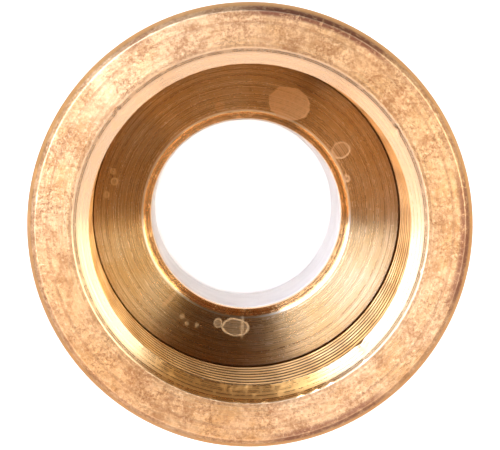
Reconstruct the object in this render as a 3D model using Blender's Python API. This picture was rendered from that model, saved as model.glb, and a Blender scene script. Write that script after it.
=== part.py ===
"""In-line water pressure regulator with G 3/4 threads, standing on its outlet end.

Metres, +Z up. The origin is at the centre of the outlet's end face, and every turned piece has its
axis on Z. Water enters at the top through the swivel nut, passes the seat, goes round the nose, in
through the stem's ports and down the hollow piston to the outlet. Outlet pressure lifts the piston
against the spring until the nose closes on the seat.
"""

import math

import bmesh
import bpy
from mathutils import Vector

MM = 0.001

# ---------------------------------------------------------------- driving dimensions

SEGMENTS = 36  # sides of a turned piece
SMOOTH_DEGREES = 35
NUT_FLUTES = 15  # grip flutes round the swivel nut
COLUMNS_PER_FLUTE = 4
FLUTE_SHARPNESS = 1.5

# Clearances
RUNNING_GAP = 0.15 * MM  # radial, between pieces that slide or turn on each other
SEATED_GAP = 0.2 * MM  # between faces that rest on each other
FIXED_GAP = 0.1 * MM  # radial, between pieces that are screwed or pressed together
NUT_TO_NECK_GAP = 0.3 * MM
NUT_TO_FLANGE_GAP = 0.3 * MM
NUT_TO_HOUSING_GAP = 0.4 * MM
THREAD_FIT = 0.05 * MM  # radial, between a male and a female thread

# Thread of both ends, G 3/4 (14 turns to the inch)
THREAD_PITCH = 1.814 * MM
FEMALE_CREST_RADIUS = 12.1 * MM
THREAD_HEIGHT = 1.15 * MM
THREAD_FLAT = 1 / 6  # width of the crest, and of the root, as a share of the pitch
THREAD_ROWS_PER_PITCH = 4
THREAD_RUN_OUT = 0.5 * THREAD_PITCH
FEMALE_ROOT_RADIUS = FEMALE_CREST_RADIUS + THREAD_HEIGHT
MALE_CREST_RADIUS = FEMALE_ROOT_RADIUS - THREAD_FIT
MALE_ROOT_RADIUS = FEMALE_CREST_RADIUS + THREAD_FIT

# Swivel nut
NUT_WALL = 3.45 * MM  # outside the thread's root
NUT_LEAD_IN_WIDTH = 1.2 * MM
NUT_LEAD_IN_DEPTH = 1.1 * MM
NUT_BEVEL_WIDTH = 0.63 * MM  # of both steps on the front edge
NUT_BEVEL_DEPTH = 0.9 * MM
NUT_SIDE_BEVEL_WIDTH = 0.35 * MM  # of the step next to the side
NUT_FRONT_BEVEL_DEPTH = 0.3 * MM
NUT_COLLAR_LENGTH = 4.2 * MM
NUT_COLLAR_STEP = 0.25 * MM  # from the collar down to the flutes
NUT_FLUTE_DEPTH = 0.75 * MM
NUT_CHAMFER = 0.6 * MM
NUT_THREAD_RELIEF = 0.8 * MM  # between the ledge and the thread
NUT_LEDGE_THICKNESS = 1.8 * MM
NUT_RADIUS = FEMALE_ROOT_RADIUS + NUT_WALL

# Tailpiece
SEALING_FACE_DEPTH = 14.6 * MM  # below the nut's front face
FLANGE_THICKNESS = 2.5 * MM
FLANGE_STEP = 1.55 * MM  # from the flange's rim in to the neck
SHANK_LENGTH = 10.9 * MM  # inside the housing
SHANK_WALL = 1.1 * MM
TAIL_RING_BELOW_TOP = 0.5 * MM
TAIL_RING_LEAD_IN = 0.4 * MM
TAIL_RING_STANDS_PROUD = 0.35 * MM  # of the shank
MOUTH_LENGTH = 1.2 * MM
MOUTH_STEP = 0.1 * MM  # from the mouth in to the seat insert's bore
LIP_CHAMFER = 0.6 * MM
FLANGE_RADIUS = FEMALE_CREST_RADIUS - RUNNING_GAP
NECK_RADIUS = FLANGE_RADIUS - FLANGE_STEP
SHANK_BORE_RADIUS = NECK_RADIUS - SHANK_WALL

# Seat insert
SEAT_LEDGE = 0.75 * MM  # from the shank's bore in to the insert
SEAT_WALL = 1.33 * MM
SEAT_TAPER = 0.18 * MM  # by which the bore widens towards its top
SEAT_LENGTH = 9.6 * MM
SEAT_LIP = 0.35 * MM
SEAT_OUTER_RADIUS = SHANK_BORE_RADIUS - SEAT_LEDGE
SEAT_BORE_RADIUS = SEAT_OUTER_RADIUS - SEAT_WALL
SEAT_BORE_TOP_RADIUS = SEAT_BORE_RADIUS + SEAT_TAPER
MOUTH_RADIUS = SEAT_BORE_TOP_RADIUS + MOUTH_STEP
LIP_RADIUS = MOUTH_RADIUS + LIP_CHAMFER

# Piston, nose and nose seal
STROKE = 1.6 * MM
CLOSED_GAP = 0.05 * MM  # between the seal and the seat when the valve is closed
HEAD_LENGTH = 5.4 * MM
HEAD_CHAMFER = 0.5 * MM
STEM_BORE_RADIUS = 5.0 * MM
STEM_WALL = 1.45 * MM
PORT_COUNT = 4
PORT_WIDTH = 4.4 * MM
PORT_HEIGHT = 3.6 * MM
PORT_ABOVE_CIRCLIP = 0.6 * MM
WATER_GAP = 0.9 * MM  # radial, round the nose
NOSE_THICKNESS = 2.0 * MM
NOSE_CHAMFER = 0.6 * MM
NOSE_RIM = 0.3 * MM
NOSE_SPIGOT_LENGTH = 2.6 * MM
NOSE_SPIGOT_ABOVE_PORT = 0.4 * MM
SEAL_WIDTH = 0.6 * MM
SEAL_DEPTH = 0.9 * MM
SEAL_STANDS_PROUD = 0.15 * MM
STEM_RADIUS = STEM_BORE_RADIUS + STEM_WALL
NOSE_RADIUS = SHANK_BORE_RADIUS - WATER_GAP
SEAL_OUTER_RADIUS = NOSE_RADIUS - NOSE_RIM
SEAL_INNER_RADIUS = SEAL_OUTER_RADIUS - SEAL_WIDTH

# Spring and its washers
SPRING_WIRE_RADIUS = 0.95 * MM
SPRING_TURNS = 5.0
SPRING_COIL_GAP = 0.52 * MM  # mean, between one coil and the next
SPRING_CLOSING = 0.42 * MM  # by which the coils gather towards both ends
SPRING_TO_STEM_GAP = 1.9 * MM
SPRING_TO_SKIRT_GAP = 1.35 * MM
SPRING_STEPS_PER_TURN = 16
SPRING_SMOOTH_DEGREES = 60
WASHER_THICKNESS = 0.8 * MM
WASHER_WIDTH_GAP = 0.4 * MM  # radial, round the stem and inside the chamber
SHIM_THICKNESS = 0.5 * MM
SPRING_RISE = SPRING_TURNS * (2 * SPRING_WIRE_RADIUS + SPRING_COIL_GAP)
SPRING_LENGTH = SPRING_RISE + 2 * SPRING_WIRE_RADIUS
SPRING_MEAN_RADIUS = STEM_RADIUS + SPRING_TO_STEM_GAP + SPRING_WIRE_RADIUS

# O-rings, by the radius of their section
HEAD_RING_SECTION = 0.9 * MM
STEM_RING_SECTION = 0.9 * MM
BODY_RING_SECTION = 0.75 * MM
TAIL_RING_SECTION = 0.6 * MM
RING_STEPS = 6
GROOVE_SIDE_GAP = 0.2 * MM

# Inlet housing
PARTITION_THICKNESS = 2.8 * MM
SKIRT_WALL = 1.7 * MM
SKIRT_LENGTH = 4.2 * MM  # below the partition
SPIGOT_LENGTH = 3.6 * MM  # from the partition's underside up to the shoulder
BODY_RING_BELOW_SHOULDER = 0.6 * MM
BODY_RING_STANDS_PROUD = 0.4 * MM  # of the skirt
GLAND_LEDGE = 1.75 * MM
BACKUP_THICKNESS = 0.7 * MM
GLAND_WASHER_THICKNESS = 0.8 * MM
CIRCLIP_THICKNESS = 0.8 * MM
CIRCLIP_GROOVE_DEPTH = 0.7 * MM
CIRCLIP_REACH = 2.0 * MM  # from the chamber's wall inwards
CIRCLIP_GAP_DEGREES = 50
HEX_SIDES = 6
HEX_LENGTH = 13.0 * MM
HEX_SHOULDER = 0.7 * MM  # from the skirt out to the flats
HEX_CORNER_REACH = 1.8 * MM  # from the flats out to the turned corners
HEX_STEP = 0.1 * MM  # from the flats in to the neck
HOUSING_WALL = 3.5 * MM  # round the shank
HOUSING_CHAMFER = 0.8 * MM
SKIRT_BORE_RADIUS = SPRING_MEAN_RADIUS + SPRING_WIRE_RADIUS + SPRING_TO_SKIRT_GAP
SKIRT_RADIUS = SKIRT_BORE_RADIUS + SKIRT_WALL
GLAND_RADIUS = STEM_RADIUS + 2 * STEM_RING_SECTION + 2 * FIXED_GAP
CHAMBER_RADIUS = GLAND_RADIUS + GLAND_LEDGE
CIRCLIP_INNER_RADIUS = CHAMBER_RADIUS - CIRCLIP_REACH
# The flats clear both the skirt below them and the neck above them.
HEX_FLAT_RADIUS = max(SKIRT_RADIUS + HEX_SHOULDER, NECK_RADIUS + HOUSING_WALL + HEX_STEP)
HEX_CORNER_RADIUS = HEX_FLAT_RADIUS + HEX_CORNER_REACH
HOUSING_NECK_RADIUS = HEX_FLAT_RADIUS - HEX_STEP

# Outlet body
BARREL_WALL = 2.7 * MM  # outside the socket for the skirt
CYLINDER_STEP = 0.8 * MM  # from the skirt in to the piston's cylinder
CYLINDER_LEAD_IN = 0.6 * MM
SOCKET_LEAD_IN = 0.3 * MM
OUTLET_WALL = 3.65 * MM  # inside the thread's root
OUTLET_CHAMFER = 1.0 * MM
OUTLET_THREAD_LENGTH = 11.8 * MM
OUTLET_RELIEF_LENGTH = 1.4 * MM
CYLINDER_FLOOR = 2.6 * MM  # above the barrel's lower face
BARREL_CHAMFER = 0.8 * MM
BAND_GROOVE_DEPTH = 0.35 * MM
BAND_GROOVE_WIDTH = 1.2 * MM
BAND_GROOVES = 2
BAND_GROOVE_PITCH = 2.8 * MM
BANDS_BELOW_TOP = 6.3 * MM
FLAT_DEPTH = 1.5 * MM
FLATS_LENGTH = 8.0 * MM
FLATS_ABOVE_BARREL = 2.4 * MM
VENT_RADIUS = 0.9 * MM
VENT_SEAT_RADIUS = 1.9 * MM
VENT_SEAT_DEPTH = 1.3 * MM
VENT_FILTER_THICKNESS = 0.9 * MM
VENT_ABOVE_PISTON = 7.0 * MM
VENT_SIDES = 16
CYLINDER_RADIUS = SKIRT_RADIUS - CYLINDER_STEP
BARREL_RADIUS = SKIRT_RADIUS + BARREL_WALL
FLAT_RADIUS = BARREL_RADIUS - FLAT_DEPTH
OUTLET_BORE_RADIUS = MALE_ROOT_RADIUS - OUTLET_WALL

# Colour, metallic share and roughness
BRASS = ((0.72, 0.47, 0.20), 1.0, 0.32)
ACETAL = ((0.92, 0.91, 0.88), 0.0, 0.40)
RUBBER = ((0.03, 0.03, 0.03), 0.0, 0.60)
STEEL = ((0.62, 0.62, 0.64), 1.0, 0.28)
PTFE = ((0.85, 0.86, 0.84), 0.0, 0.50)
BRONZE = ((0.50, 0.33, 0.16), 1.0, 0.65)

# ---------------------------------------------------------------- levels, worked out upwards

BARREL_Z = OUTLET_THREAD_LENGTH + OUTLET_RELIEF_LENGTH
FLOOR_Z = BARREL_Z + CYLINDER_FLOOR
PISTON_Z = FLOOR_Z + SEATED_GAP
HEAD_TOP_Z = PISTON_Z + HEAD_LENGTH
LOWER_WASHER_Z = HEAD_TOP_Z + SEATED_GAP
SPRING_Z = LOWER_WASHER_Z + WASHER_THICKNESS + SEATED_GAP
SPRING_TOP_Z = SPRING_Z + SPRING_LENGTH
UPPER_WASHER_Z = SPRING_TOP_Z + SEATED_GAP
SHIM_Z = UPPER_WASHER_Z + WASHER_THICKNESS + SEATED_GAP
PARTITION_Z = SHIM_Z + SHIM_THICKNESS + SEATED_GAP
GLAND_Z = PARTITION_Z + PARTITION_THICKNESS
BACKUP_Z = GLAND_Z + SEATED_GAP
STEM_RING_Z = BACKUP_Z + BACKUP_THICKNESS + SEATED_GAP + STEM_RING_SECTION
GLAND_TOP_Z = STEM_RING_Z + STEM_RING_SECTION + SEATED_GAP
GLAND_WASHER_Z = GLAND_TOP_Z + SEATED_GAP
CIRCLIP_Z = GLAND_WASHER_Z + GLAND_WASHER_THICKNESS + SEATED_GAP
CIRCLIP_TOP_Z = CIRCLIP_Z + CIRCLIP_THICKNESS
PORT_Z = CIRCLIP_TOP_Z + PORT_ABOVE_CIRCLIP
SPIGOT_Z = PORT_Z + PORT_HEIGHT + NOSE_SPIGOT_ABOVE_PORT
STEM_TOP_Z = SPIGOT_Z + NOSE_SPIGOT_LENGTH
NOSE_Z = STEM_TOP_Z + SEATED_GAP
NOSE_FACE_Z = NOSE_Z + NOSE_THICKNESS
SEAT_Z = NOSE_FACE_Z + SEAL_STANDS_PROUD + STROKE + CLOSED_GAP
SEAT_TOP_Z = SEAT_Z + SEAT_LENGTH
MOUTH_Z = SEAT_TOP_Z + SEATED_GAP
SEALING_FACE_Z = MOUTH_Z + MOUTH_LENGTH
NUT_FACE_Z = SEALING_FACE_Z + SEALING_FACE_DEPTH
FLANGE_Z = SEALING_FACE_Z - FLANGE_THICKNESS
NUT_LEDGE_Z = FLANGE_Z - NUT_TO_FLANGE_GAP
NUT_Z = NUT_LEDGE_Z - NUT_LEDGE_THICKNESS
HOUSING_TOP_Z = NUT_Z - NUT_TO_HOUSING_GAP
SHANK_Z = HOUSING_TOP_Z - SHANK_LENGTH
SHOULDER_Z = PARTITION_Z + SPIGOT_LENGTH
SKIRT_Z = PARTITION_Z - SKIRT_LENGTH
BODY_TOP_Z = SHOULDER_Z - SEATED_GAP
HEX_TOP_Z = SHOULDER_Z + HEX_LENGTH
FLATS_Z = BARREL_Z + FLATS_ABOVE_BARREL
BAND_Z = BODY_TOP_Z - BANDS_BELOW_TOP
VENT_Z = HEAD_TOP_Z + VENT_ABOVE_PISTON

# ---------------------------------------------------------------- materials and mesh helpers


def clear_scene():
    for obj in list(bpy.data.objects):
        bpy.data.objects.remove(obj, do_unlink=True)


def make_material(name, look):
    colour, metallic, roughness = look
    material = bpy.data.materials.new(name)
    material.use_nodes = True
    shader = material.node_tree.nodes["Principled BSDF"]
    shader.inputs["Base Color"].default_value = (*colour, 1.0)
    shader.inputs["Metallic"].default_value = metallic
    shader.inputs["Roughness"].default_value = roughness
    return material


def add_mesh(name, points, faces, material, smooth_degrees=SMOOTH_DEGREES):
    """One closed mesh object in the scene, with its faces turned outwards."""
    mesh = bpy.data.meshes.new(name)
    mesh.from_pydata(points, [], faces)
    work = bmesh.new()
    work.from_mesh(mesh)
    bmesh.ops.recalc_face_normals(work, faces=work.faces)
    work.to_mesh(mesh)
    work.free()
    mesh.shade_smooth()
    mesh.set_sharp_from_angle(angle=math.radians(smooth_degrees))
    mesh.materials.append(material)
    obj = bpy.data.objects.new(name, mesh)
    bpy.context.scene.collection.objects.link(obj)
    return obj


def constant(radius):
    return lambda angle: radius


def turned(name, outline, material, columns=SEGMENTS):
    """A ring-shaped solid from a closed outline of (radius, z). A radius may be a function of the angle."""
    points = []
    for radius, z in outline:
        radius_at = radius if callable(radius) else constant(radius)
        for column in range(columns):
            angle = 2 * math.pi * column / columns
            r = radius_at(angle)
            points.append((r * math.cos(angle), r * math.sin(angle), z))
    faces = []
    for row in range(len(outline)):
        below = row * columns
        above = (row + 1) % len(outline) * columns
        for column in range(columns):
            after = (column + 1) % columns
            faces.append((below + column, below + after, above + after, above + column))
    return add_mesh(name, points, faces, material)


def solid_turned(name, outline, material, columns=SEGMENTS):
    """A turned solid with no bore: the outline of (radius, z) runs up, and flat ends close it."""
    points = []
    for radius, z in outline:
        for column in range(columns):
            angle = 2 * math.pi * column / columns
            points.append((radius * math.cos(angle), radius * math.sin(angle), z))
    faces = []
    for row in range(len(outline) - 1):
        below = row * columns
        above = below + columns
        for column in range(columns):
            after = (column + 1) % columns
            faces.append((below + column, below + after, above + after, above + column))
    faces.append(tuple(reversed(range(columns))))
    faces.append(tuple(range((len(outline) - 1) * columns, len(outline) * columns)))
    return add_mesh(name, points, faces, material)


def ring(name, inner, outer, bottom, thickness, material):
    """A flat ring with square edges, resting at the height bottom."""
    top = bottom + thickness
    return turned(name, [(inner, bottom), (outer, bottom), (outer, top), (inner, top)], material)


def o_ring(name, mean_radius, section, z, material):
    outline = []
    for step in range(RING_STEPS):
        turn = 2 * math.pi * (step + 0.5) / RING_STEPS
        outline.append((mean_radius + section * math.cos(turn), z + section * math.sin(turn)))
    return turned(name, outline, material)


def thread_radius(z, span, root, crest, end_radius):
    """Radius of a thread at height z, as a function of the angle. Both ends of its span run out."""
    start, end = span
    low_share = min(1.0, (z - start) / THREAD_RUN_OUT)
    high_share = min(1.0, (end - z) / THREAD_RUN_OUT)

    def radius_at(angle):
        phase = (z / THREAD_PITCH - angle / (2 * math.pi)) % 1.0
        from_crest = abs(2 * phase - 1)
        height = (1 - THREAD_FLAT - from_crest) / (1 - 2 * THREAD_FLAT)
        height = min(1.0, max(0.0, height))
        radius = root + (crest - root) * height * low_share
        return end_radius + (radius - end_radius) * high_share

    return radius_at


def thread_rows(z_start, z_end, root, crest, end_radius):
    """Outline rows, upwards, of a helical thread. It starts at the root radius and ends at end_radius."""
    count = max(2, round((z_end - z_start) / THREAD_PITCH * THREAD_ROWS_PER_PITCH))
    rows = []
    for row in range(count + 1):
        z = z_start + (z_end - z_start) * row / count
        rows.append((thread_radius(z, (z_start, z_end), root, crest, end_radius), z))
    return rows


def cutter(name, obj):
    obj.name = name
    obj.hide_render = True
    obj.display_type = "WIRE"
    return obj


def boolean(obj, tool, operation):
    modifier = obj.modifiers.new(tool.name, "BOOLEAN")
    modifier.operation = operation
    modifier.object = tool
    modifier.solver = "EXACT"


def box_tool(name, low, high, turn=0.0):
    """A box-shaped cutter between two corners, turned about Z."""
    mesh = bpy.data.meshes.new(name)
    work = bmesh.new()
    bmesh.ops.create_cube(work, size=1.0)
    low = Vector(low)
    high = Vector(high)
    for vertex in work.verts:
        for axis in range(3):
            middle = (low[axis] + high[axis]) / 2
            vertex.co[axis] = middle + vertex.co[axis] * (high[axis] - low[axis])
    work.to_mesh(mesh)
    work.free()
    obj = bpy.data.objects.new(name, mesh)
    obj.rotation_euler.z = turn
    bpy.context.scene.collection.objects.link(obj)
    return cutter(name, obj)


# ---------------------------------------------------------------- pieces at the inlet


def make_swivel_nut():
    """The nut hangs on the tailpiece's flange by its inner ledge."""
    collar_z = NUT_FACE_Z - NUT_COLLAR_LENGTH
    nut_bore = NECK_RADIUS + NUT_TO_NECK_GAP
    flute_crest = NUT_RADIUS - NUT_COLLAR_STEP
    face_inner = FEMALE_CREST_RADIUS + NUT_LEAD_IN_WIDTH

    def fluted(angle):
        wave = 0.5 - 0.5 * math.cos(angle * NUT_FLUTES)
        return flute_crest - NUT_FLUTE_DEPTH * wave**FLUTE_SHARPNESS

    outline = [
        (nut_bore, NUT_Z),
        (flute_crest - NUT_FLUTE_DEPTH - NUT_CHAMFER, NUT_Z),
        (fluted, NUT_Z + NUT_CHAMFER),
        (fluted, collar_z - NUT_CHAMFER),
        (NUT_RADIUS, collar_z),
        (NUT_RADIUS, NUT_FACE_Z - NUT_BEVEL_DEPTH),
        (NUT_RADIUS - NUT_SIDE_BEVEL_WIDTH, NUT_FACE_Z - NUT_FRONT_BEVEL_DEPTH),
        (NUT_RADIUS - NUT_BEVEL_WIDTH, NUT_FACE_Z),
        (face_inner, NUT_FACE_Z),
    ]
    # The thread runs out where the lead-in chamfer has narrowed the mouth to the crest.
    rows = thread_rows(
        NUT_LEDGE_Z + NUT_THREAD_RELIEF,
        NUT_FACE_Z - NUT_LEAD_IN_DEPTH,
        FEMALE_ROOT_RADIUS,
        FEMALE_CREST_RADIUS,
        FEMALE_CREST_RADIUS,
    )
    outline += list(reversed(rows))
    outline += [
        (FEMALE_ROOT_RADIUS, NUT_LEDGE_Z),
        (nut_bore, NUT_LEDGE_Z),
    ]
    columns = NUT_FLUTES * COLUMNS_PER_FLUTE
    return turned("swivel_nut", outline, make_material("nut_brass", BRASS), columns)


def make_tailpiece():
    """Flange, neck and shank. The mouth narrows above the seat insert, which is pushed in from below."""
    groove_low, groove_high, groove_floor = tailpiece_groove()
    insert_hole = SEAT_OUTER_RADIUS + FIXED_GAP
    outline = [
        (SHANK_BORE_RADIUS, SHANK_Z),
        (NECK_RADIUS, SHANK_Z),
        (NECK_RADIUS, groove_low),
        (groove_floor, groove_low),
        (groove_floor, groove_high),
        (NECK_RADIUS, groove_high),
        (NECK_RADIUS, FLANGE_Z),
        (FLANGE_RADIUS, FLANGE_Z),
        (FLANGE_RADIUS, SEALING_FACE_Z),
        (LIP_RADIUS, SEALING_FACE_Z),
        (MOUTH_RADIUS, SEALING_FACE_Z - LIP_CHAMFER),
        (MOUTH_RADIUS, MOUTH_Z),
        (insert_hole, MOUTH_Z),
        (insert_hole, SEAT_Z),
        (SHANK_BORE_RADIUS, SEAT_Z - (SHANK_BORE_RADIUS - insert_hole)),
    ]
    return turned("tailpiece", outline, make_material("tailpiece_brass", BRASS))


def tailpiece_groove():
    """Heights and floor radius of the O-ring groove at the top of the shank."""
    width = 2 * TAIL_RING_SECTION + 2 * GROOVE_SIDE_GAP
    high = HOUSING_TOP_Z - TAIL_RING_BELOW_TOP
    floor = NECK_RADIUS + TAIL_RING_STANDS_PROUD - 2 * TAIL_RING_SECTION
    return high - width, high, floor


def make_tailpiece_o_ring():
    low, high, floor = tailpiece_groove()
    mean = floor + FIXED_GAP / 2 + TAIL_RING_SECTION
    material = make_material("nbr_tailpiece", RUBBER)
    return o_ring("tailpiece_o_ring", mean, TAIL_RING_SECTION, (low + high) / 2, material)


def make_seat_insert():
    """A tube with a rounded lip at its lower end, where the nose seal closes."""
    outline = [
        (SEAT_BORE_RADIUS, SEAT_Z + SEAT_LIP),
        (SEAT_BORE_RADIUS + SEAT_LIP, SEAT_Z),
        (SEAT_OUTER_RADIUS - SEAT_LIP, SEAT_Z),
        (SEAT_OUTER_RADIUS, SEAT_Z + SEAT_LIP),
        (SEAT_OUTER_RADIUS, SEAT_TOP_Z),
        (SEAT_BORE_TOP_RADIUS, SEAT_TOP_Z),
    ]
    return turned("seat_insert", outline, make_material("seat_acetal", ACETAL))


# ---------------------------------------------------------------- housing and gland


def body_groove():
    """Heights, floor radius and wall radius of the O-ring groove under the housing's shoulder."""
    width = 2 * BODY_RING_SECTION + 2 * GROOVE_SIDE_GAP
    high = SHOULDER_Z - BODY_RING_BELOW_SHOULDER
    floor = SKIRT_RADIUS + BODY_RING_STANDS_PROUD - 2 * BODY_RING_SECTION
    wall = floor + 2 * BODY_RING_SECTION + FIXED_GAP
    return high - width, high, floor, wall


def make_inlet_housing():
    low, high, floor, _ = body_groove()
    ring_low, _, ring_floor = tailpiece_groove()
    ring_hole = ring_floor + 2 * TAIL_RING_SECTION + FIXED_GAP
    shank_hole = NECK_RADIUS + FIXED_GAP
    groove_radius = CHAMBER_RADIUS + CIRCLIP_GROOVE_DEPTH
    stem_hole = STEM_RADIUS + RUNNING_GAP
    outline = [
        (SKIRT_BORE_RADIUS, SKIRT_Z),
        (SKIRT_RADIUS - HOUSING_CHAMFER, SKIRT_Z),
        (SKIRT_RADIUS, SKIRT_Z + HOUSING_CHAMFER),
        (SKIRT_RADIUS, low),
        (floor, low),
        (floor, high),
        (SKIRT_RADIUS, high),
        (SKIRT_RADIUS, SHOULDER_Z),
        (HEX_CORNER_RADIUS - HOUSING_CHAMFER, SHOULDER_Z),
        (HEX_CORNER_RADIUS, SHOULDER_Z + HOUSING_CHAMFER / 2),
        (HEX_CORNER_RADIUS, HEX_TOP_Z - HOUSING_CHAMFER),
        (HEX_FLAT_RADIUS, HEX_TOP_Z),
        (HOUSING_NECK_RADIUS, HEX_TOP_Z + HEX_STEP),
        (HOUSING_NECK_RADIUS, HOUSING_TOP_Z - HOUSING_CHAMFER),
        (HOUSING_NECK_RADIUS - HOUSING_CHAMFER, HOUSING_TOP_Z),
        (ring_hole, HOUSING_TOP_Z),
        (ring_hole, ring_low),
        (shank_hole, ring_low - TAIL_RING_LEAD_IN),
        (shank_hole, SHANK_Z - SEATED_GAP),
        (CHAMBER_RADIUS, SHANK_Z - SEATED_GAP),
        (CHAMBER_RADIUS, CIRCLIP_TOP_Z + FIXED_GAP),
        (groove_radius, CIRCLIP_TOP_Z + FIXED_GAP),
        (groove_radius, CIRCLIP_Z - FIXED_GAP),
        (CHAMBER_RADIUS, CIRCLIP_Z - FIXED_GAP),
        (CHAMBER_RADIUS, GLAND_TOP_Z),
        (GLAND_RADIUS, GLAND_TOP_Z),
        (GLAND_RADIUS, GLAND_Z),
        (stem_hole, GLAND_Z),
        (stem_hole, PARTITION_Z),
        (SKIRT_BORE_RADIUS, PARTITION_Z),
    ]
    housing = turned("inlet_housing", outline, make_material("housing_brass", BRASS))
    reach = 2 * HEX_CORNER_RADIUS
    for side in range(HEX_SIDES):
        tool = box_tool(
            f"hex_flat_{side}_tool",
            (HEX_FLAT_RADIUS, -reach, SHOULDER_Z - SEATED_GAP / 2),
            (reach, reach, HEX_TOP_Z + HOUSING_CHAMFER),
            2 * math.pi * (side + 0.5) / HEX_SIDES,
        )
        boolean(housing, tool, "DIFFERENCE")
    return housing


def make_body_o_ring():
    low, high, floor, _ = body_groove()
    mean = floor + FIXED_GAP / 2 + BODY_RING_SECTION
    material = make_material("nbr_body", RUBBER)
    return o_ring("body_o_ring", mean, BODY_RING_SECTION, (low + high) / 2, material)


def make_gland():
    """The stem's seal, its backup ring below, and the washer and circlip that hold them down."""
    backup_material = make_material("ptfe_backup", PTFE)
    ring_material = make_material("nbr_stem", RUBBER)
    washer_material = make_material("gland_brass", BRASS)
    inner = STEM_RADIUS + RUNNING_GAP
    outer = GLAND_RADIUS - FIXED_GAP
    ring("stem_backup_ring", inner, outer, BACKUP_Z, BACKUP_THICKNESS, backup_material)
    mean = STEM_RADIUS + FIXED_GAP + STEM_RING_SECTION
    o_ring("stem_o_ring", mean, STEM_RING_SECTION, STEM_RING_Z, ring_material)
    inner = STEM_RADIUS + WASHER_WIDTH_GAP
    outer = CHAMBER_RADIUS - RUNNING_GAP
    ring("gland_washer", inner, outer, GLAND_WASHER_Z, GLAND_WASHER_THICKNESS, washer_material)
    make_circlip()


def make_circlip():
    """An open ring sprung into its groove, with square ends."""
    outer = CHAMBER_RADIUS + CIRCLIP_GROOVE_DEPTH - FIXED_GAP
    half_gap = math.radians(CIRCLIP_GAP_DEGREES) / 2
    steps = round(SEGMENTS * (1 - CIRCLIP_GAP_DEGREES / 360))
    points = []
    for step in range(steps + 1):
        angle = half_gap + (2 * math.pi - 2 * half_gap) * step / steps
        for radius, z in (
            (CIRCLIP_INNER_RADIUS, CIRCLIP_Z),
            (outer, CIRCLIP_Z),
            (outer, CIRCLIP_TOP_Z),
            (CIRCLIP_INNER_RADIUS, CIRCLIP_TOP_Z),
        ):
            points.append((radius * math.cos(angle), radius * math.sin(angle), z))
    faces = [(3, 2, 1, 0), tuple(4 * steps + k for k in range(4))]
    for step in range(steps):
        for side in range(4):
            near = 4 * step + side
            beside = 4 * step + (side + 1) % 4
            faces.append((near, beside, beside + 4, near + 4))
    return add_mesh("gland_circlip", points, faces, make_material("circlip_steel", STEEL))


# ---------------------------------------------------------------- piston and spring


def make_piston():
    """Head and hollow stem in one, with ports through the stem under the nose."""
    head_radius = CYLINDER_RADIUS - RUNNING_GAP
    groove_half = HEAD_RING_SECTION + GROOVE_SIDE_GAP
    groove_z = PISTON_Z + HEAD_LENGTH / 2
    groove_floor = CYLINDER_RADIUS - 2 * HEAD_RING_SECTION - 2 * FIXED_GAP
    outline = [
        (STEM_BORE_RADIUS + HEAD_CHAMFER, PISTON_Z),
        (head_radius - HEAD_CHAMFER, PISTON_Z),
        (head_radius, PISTON_Z + HEAD_CHAMFER),
        (head_radius, groove_z - groove_half),
        (groove_floor, groove_z - groove_half),
        (groove_floor, groove_z + groove_half),
        (head_radius, groove_z + groove_half),
        (head_radius, HEAD_TOP_Z - HEAD_CHAMFER),
        (head_radius - HEAD_CHAMFER, HEAD_TOP_Z),
        (STEM_RADIUS, HEAD_TOP_Z),
        (STEM_RADIUS, STEM_TOP_Z),
        (STEM_BORE_RADIUS, STEM_TOP_Z),
        (STEM_BORE_RADIUS, PISTON_Z + HEAD_CHAMFER),
    ]
    piston = turned("piston", outline, make_material("piston_acetal", ACETAL))
    for port in range(PORT_COUNT):
        tool = box_tool(
            f"port_{port}_tool",
            (STEM_BORE_RADIUS / 2, -PORT_WIDTH / 2, PORT_Z),
            (2 * STEM_RADIUS, PORT_WIDTH / 2, PORT_Z + PORT_HEIGHT),
            2 * math.pi * port / PORT_COUNT,
        )
        boolean(piston, tool, "DIFFERENCE")
    return piston


def make_piston_o_ring():
    mean = CYLINDER_RADIUS - FIXED_GAP / 2 - HEAD_RING_SECTION
    z = PISTON_Z + HEAD_LENGTH / 2
    material = make_material("nbr_piston", RUBBER)
    return o_ring("piston_o_ring", mean, HEAD_RING_SECTION, z, material)


def make_piston_nose():
    """A disc with a spigot in the stem's bore, and a groove for the seal in its upper face."""
    groove_inner = SEAL_INNER_RADIUS - FIXED_GAP / 2
    groove_outer = SEAL_OUTER_RADIUS + FIXED_GAP / 2
    groove_floor = NOSE_FACE_Z + SEAL_STANDS_PROUD - SEAL_DEPTH - FIXED_GAP
    spigot = STEM_BORE_RADIUS - FIXED_GAP
    outline = [
        (spigot, SPIGOT_Z),
        (spigot, NOSE_Z),
        (NOSE_RADIUS - NOSE_CHAMFER, NOSE_Z),
        (NOSE_RADIUS, NOSE_Z + NOSE_CHAMFER),
        (NOSE_RADIUS, NOSE_FACE_Z),
        (groove_outer, NOSE_FACE_Z),
        (groove_outer, groove_floor),
        (groove_inner, groove_floor),
        (groove_inner, NOSE_FACE_Z),
    ]
    return solid_turned("piston_nose", outline, make_material("nose_acetal", ACETAL))


def make_nose_seal():
    low = NOSE_FACE_Z + SEAL_STANDS_PROUD - SEAL_DEPTH
    material = make_material("epdm_nose", RUBBER)
    return ring("nose_seal", SEAL_INNER_RADIUS, SEAL_OUTER_RADIUS, low, SEAL_DEPTH, material)


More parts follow.
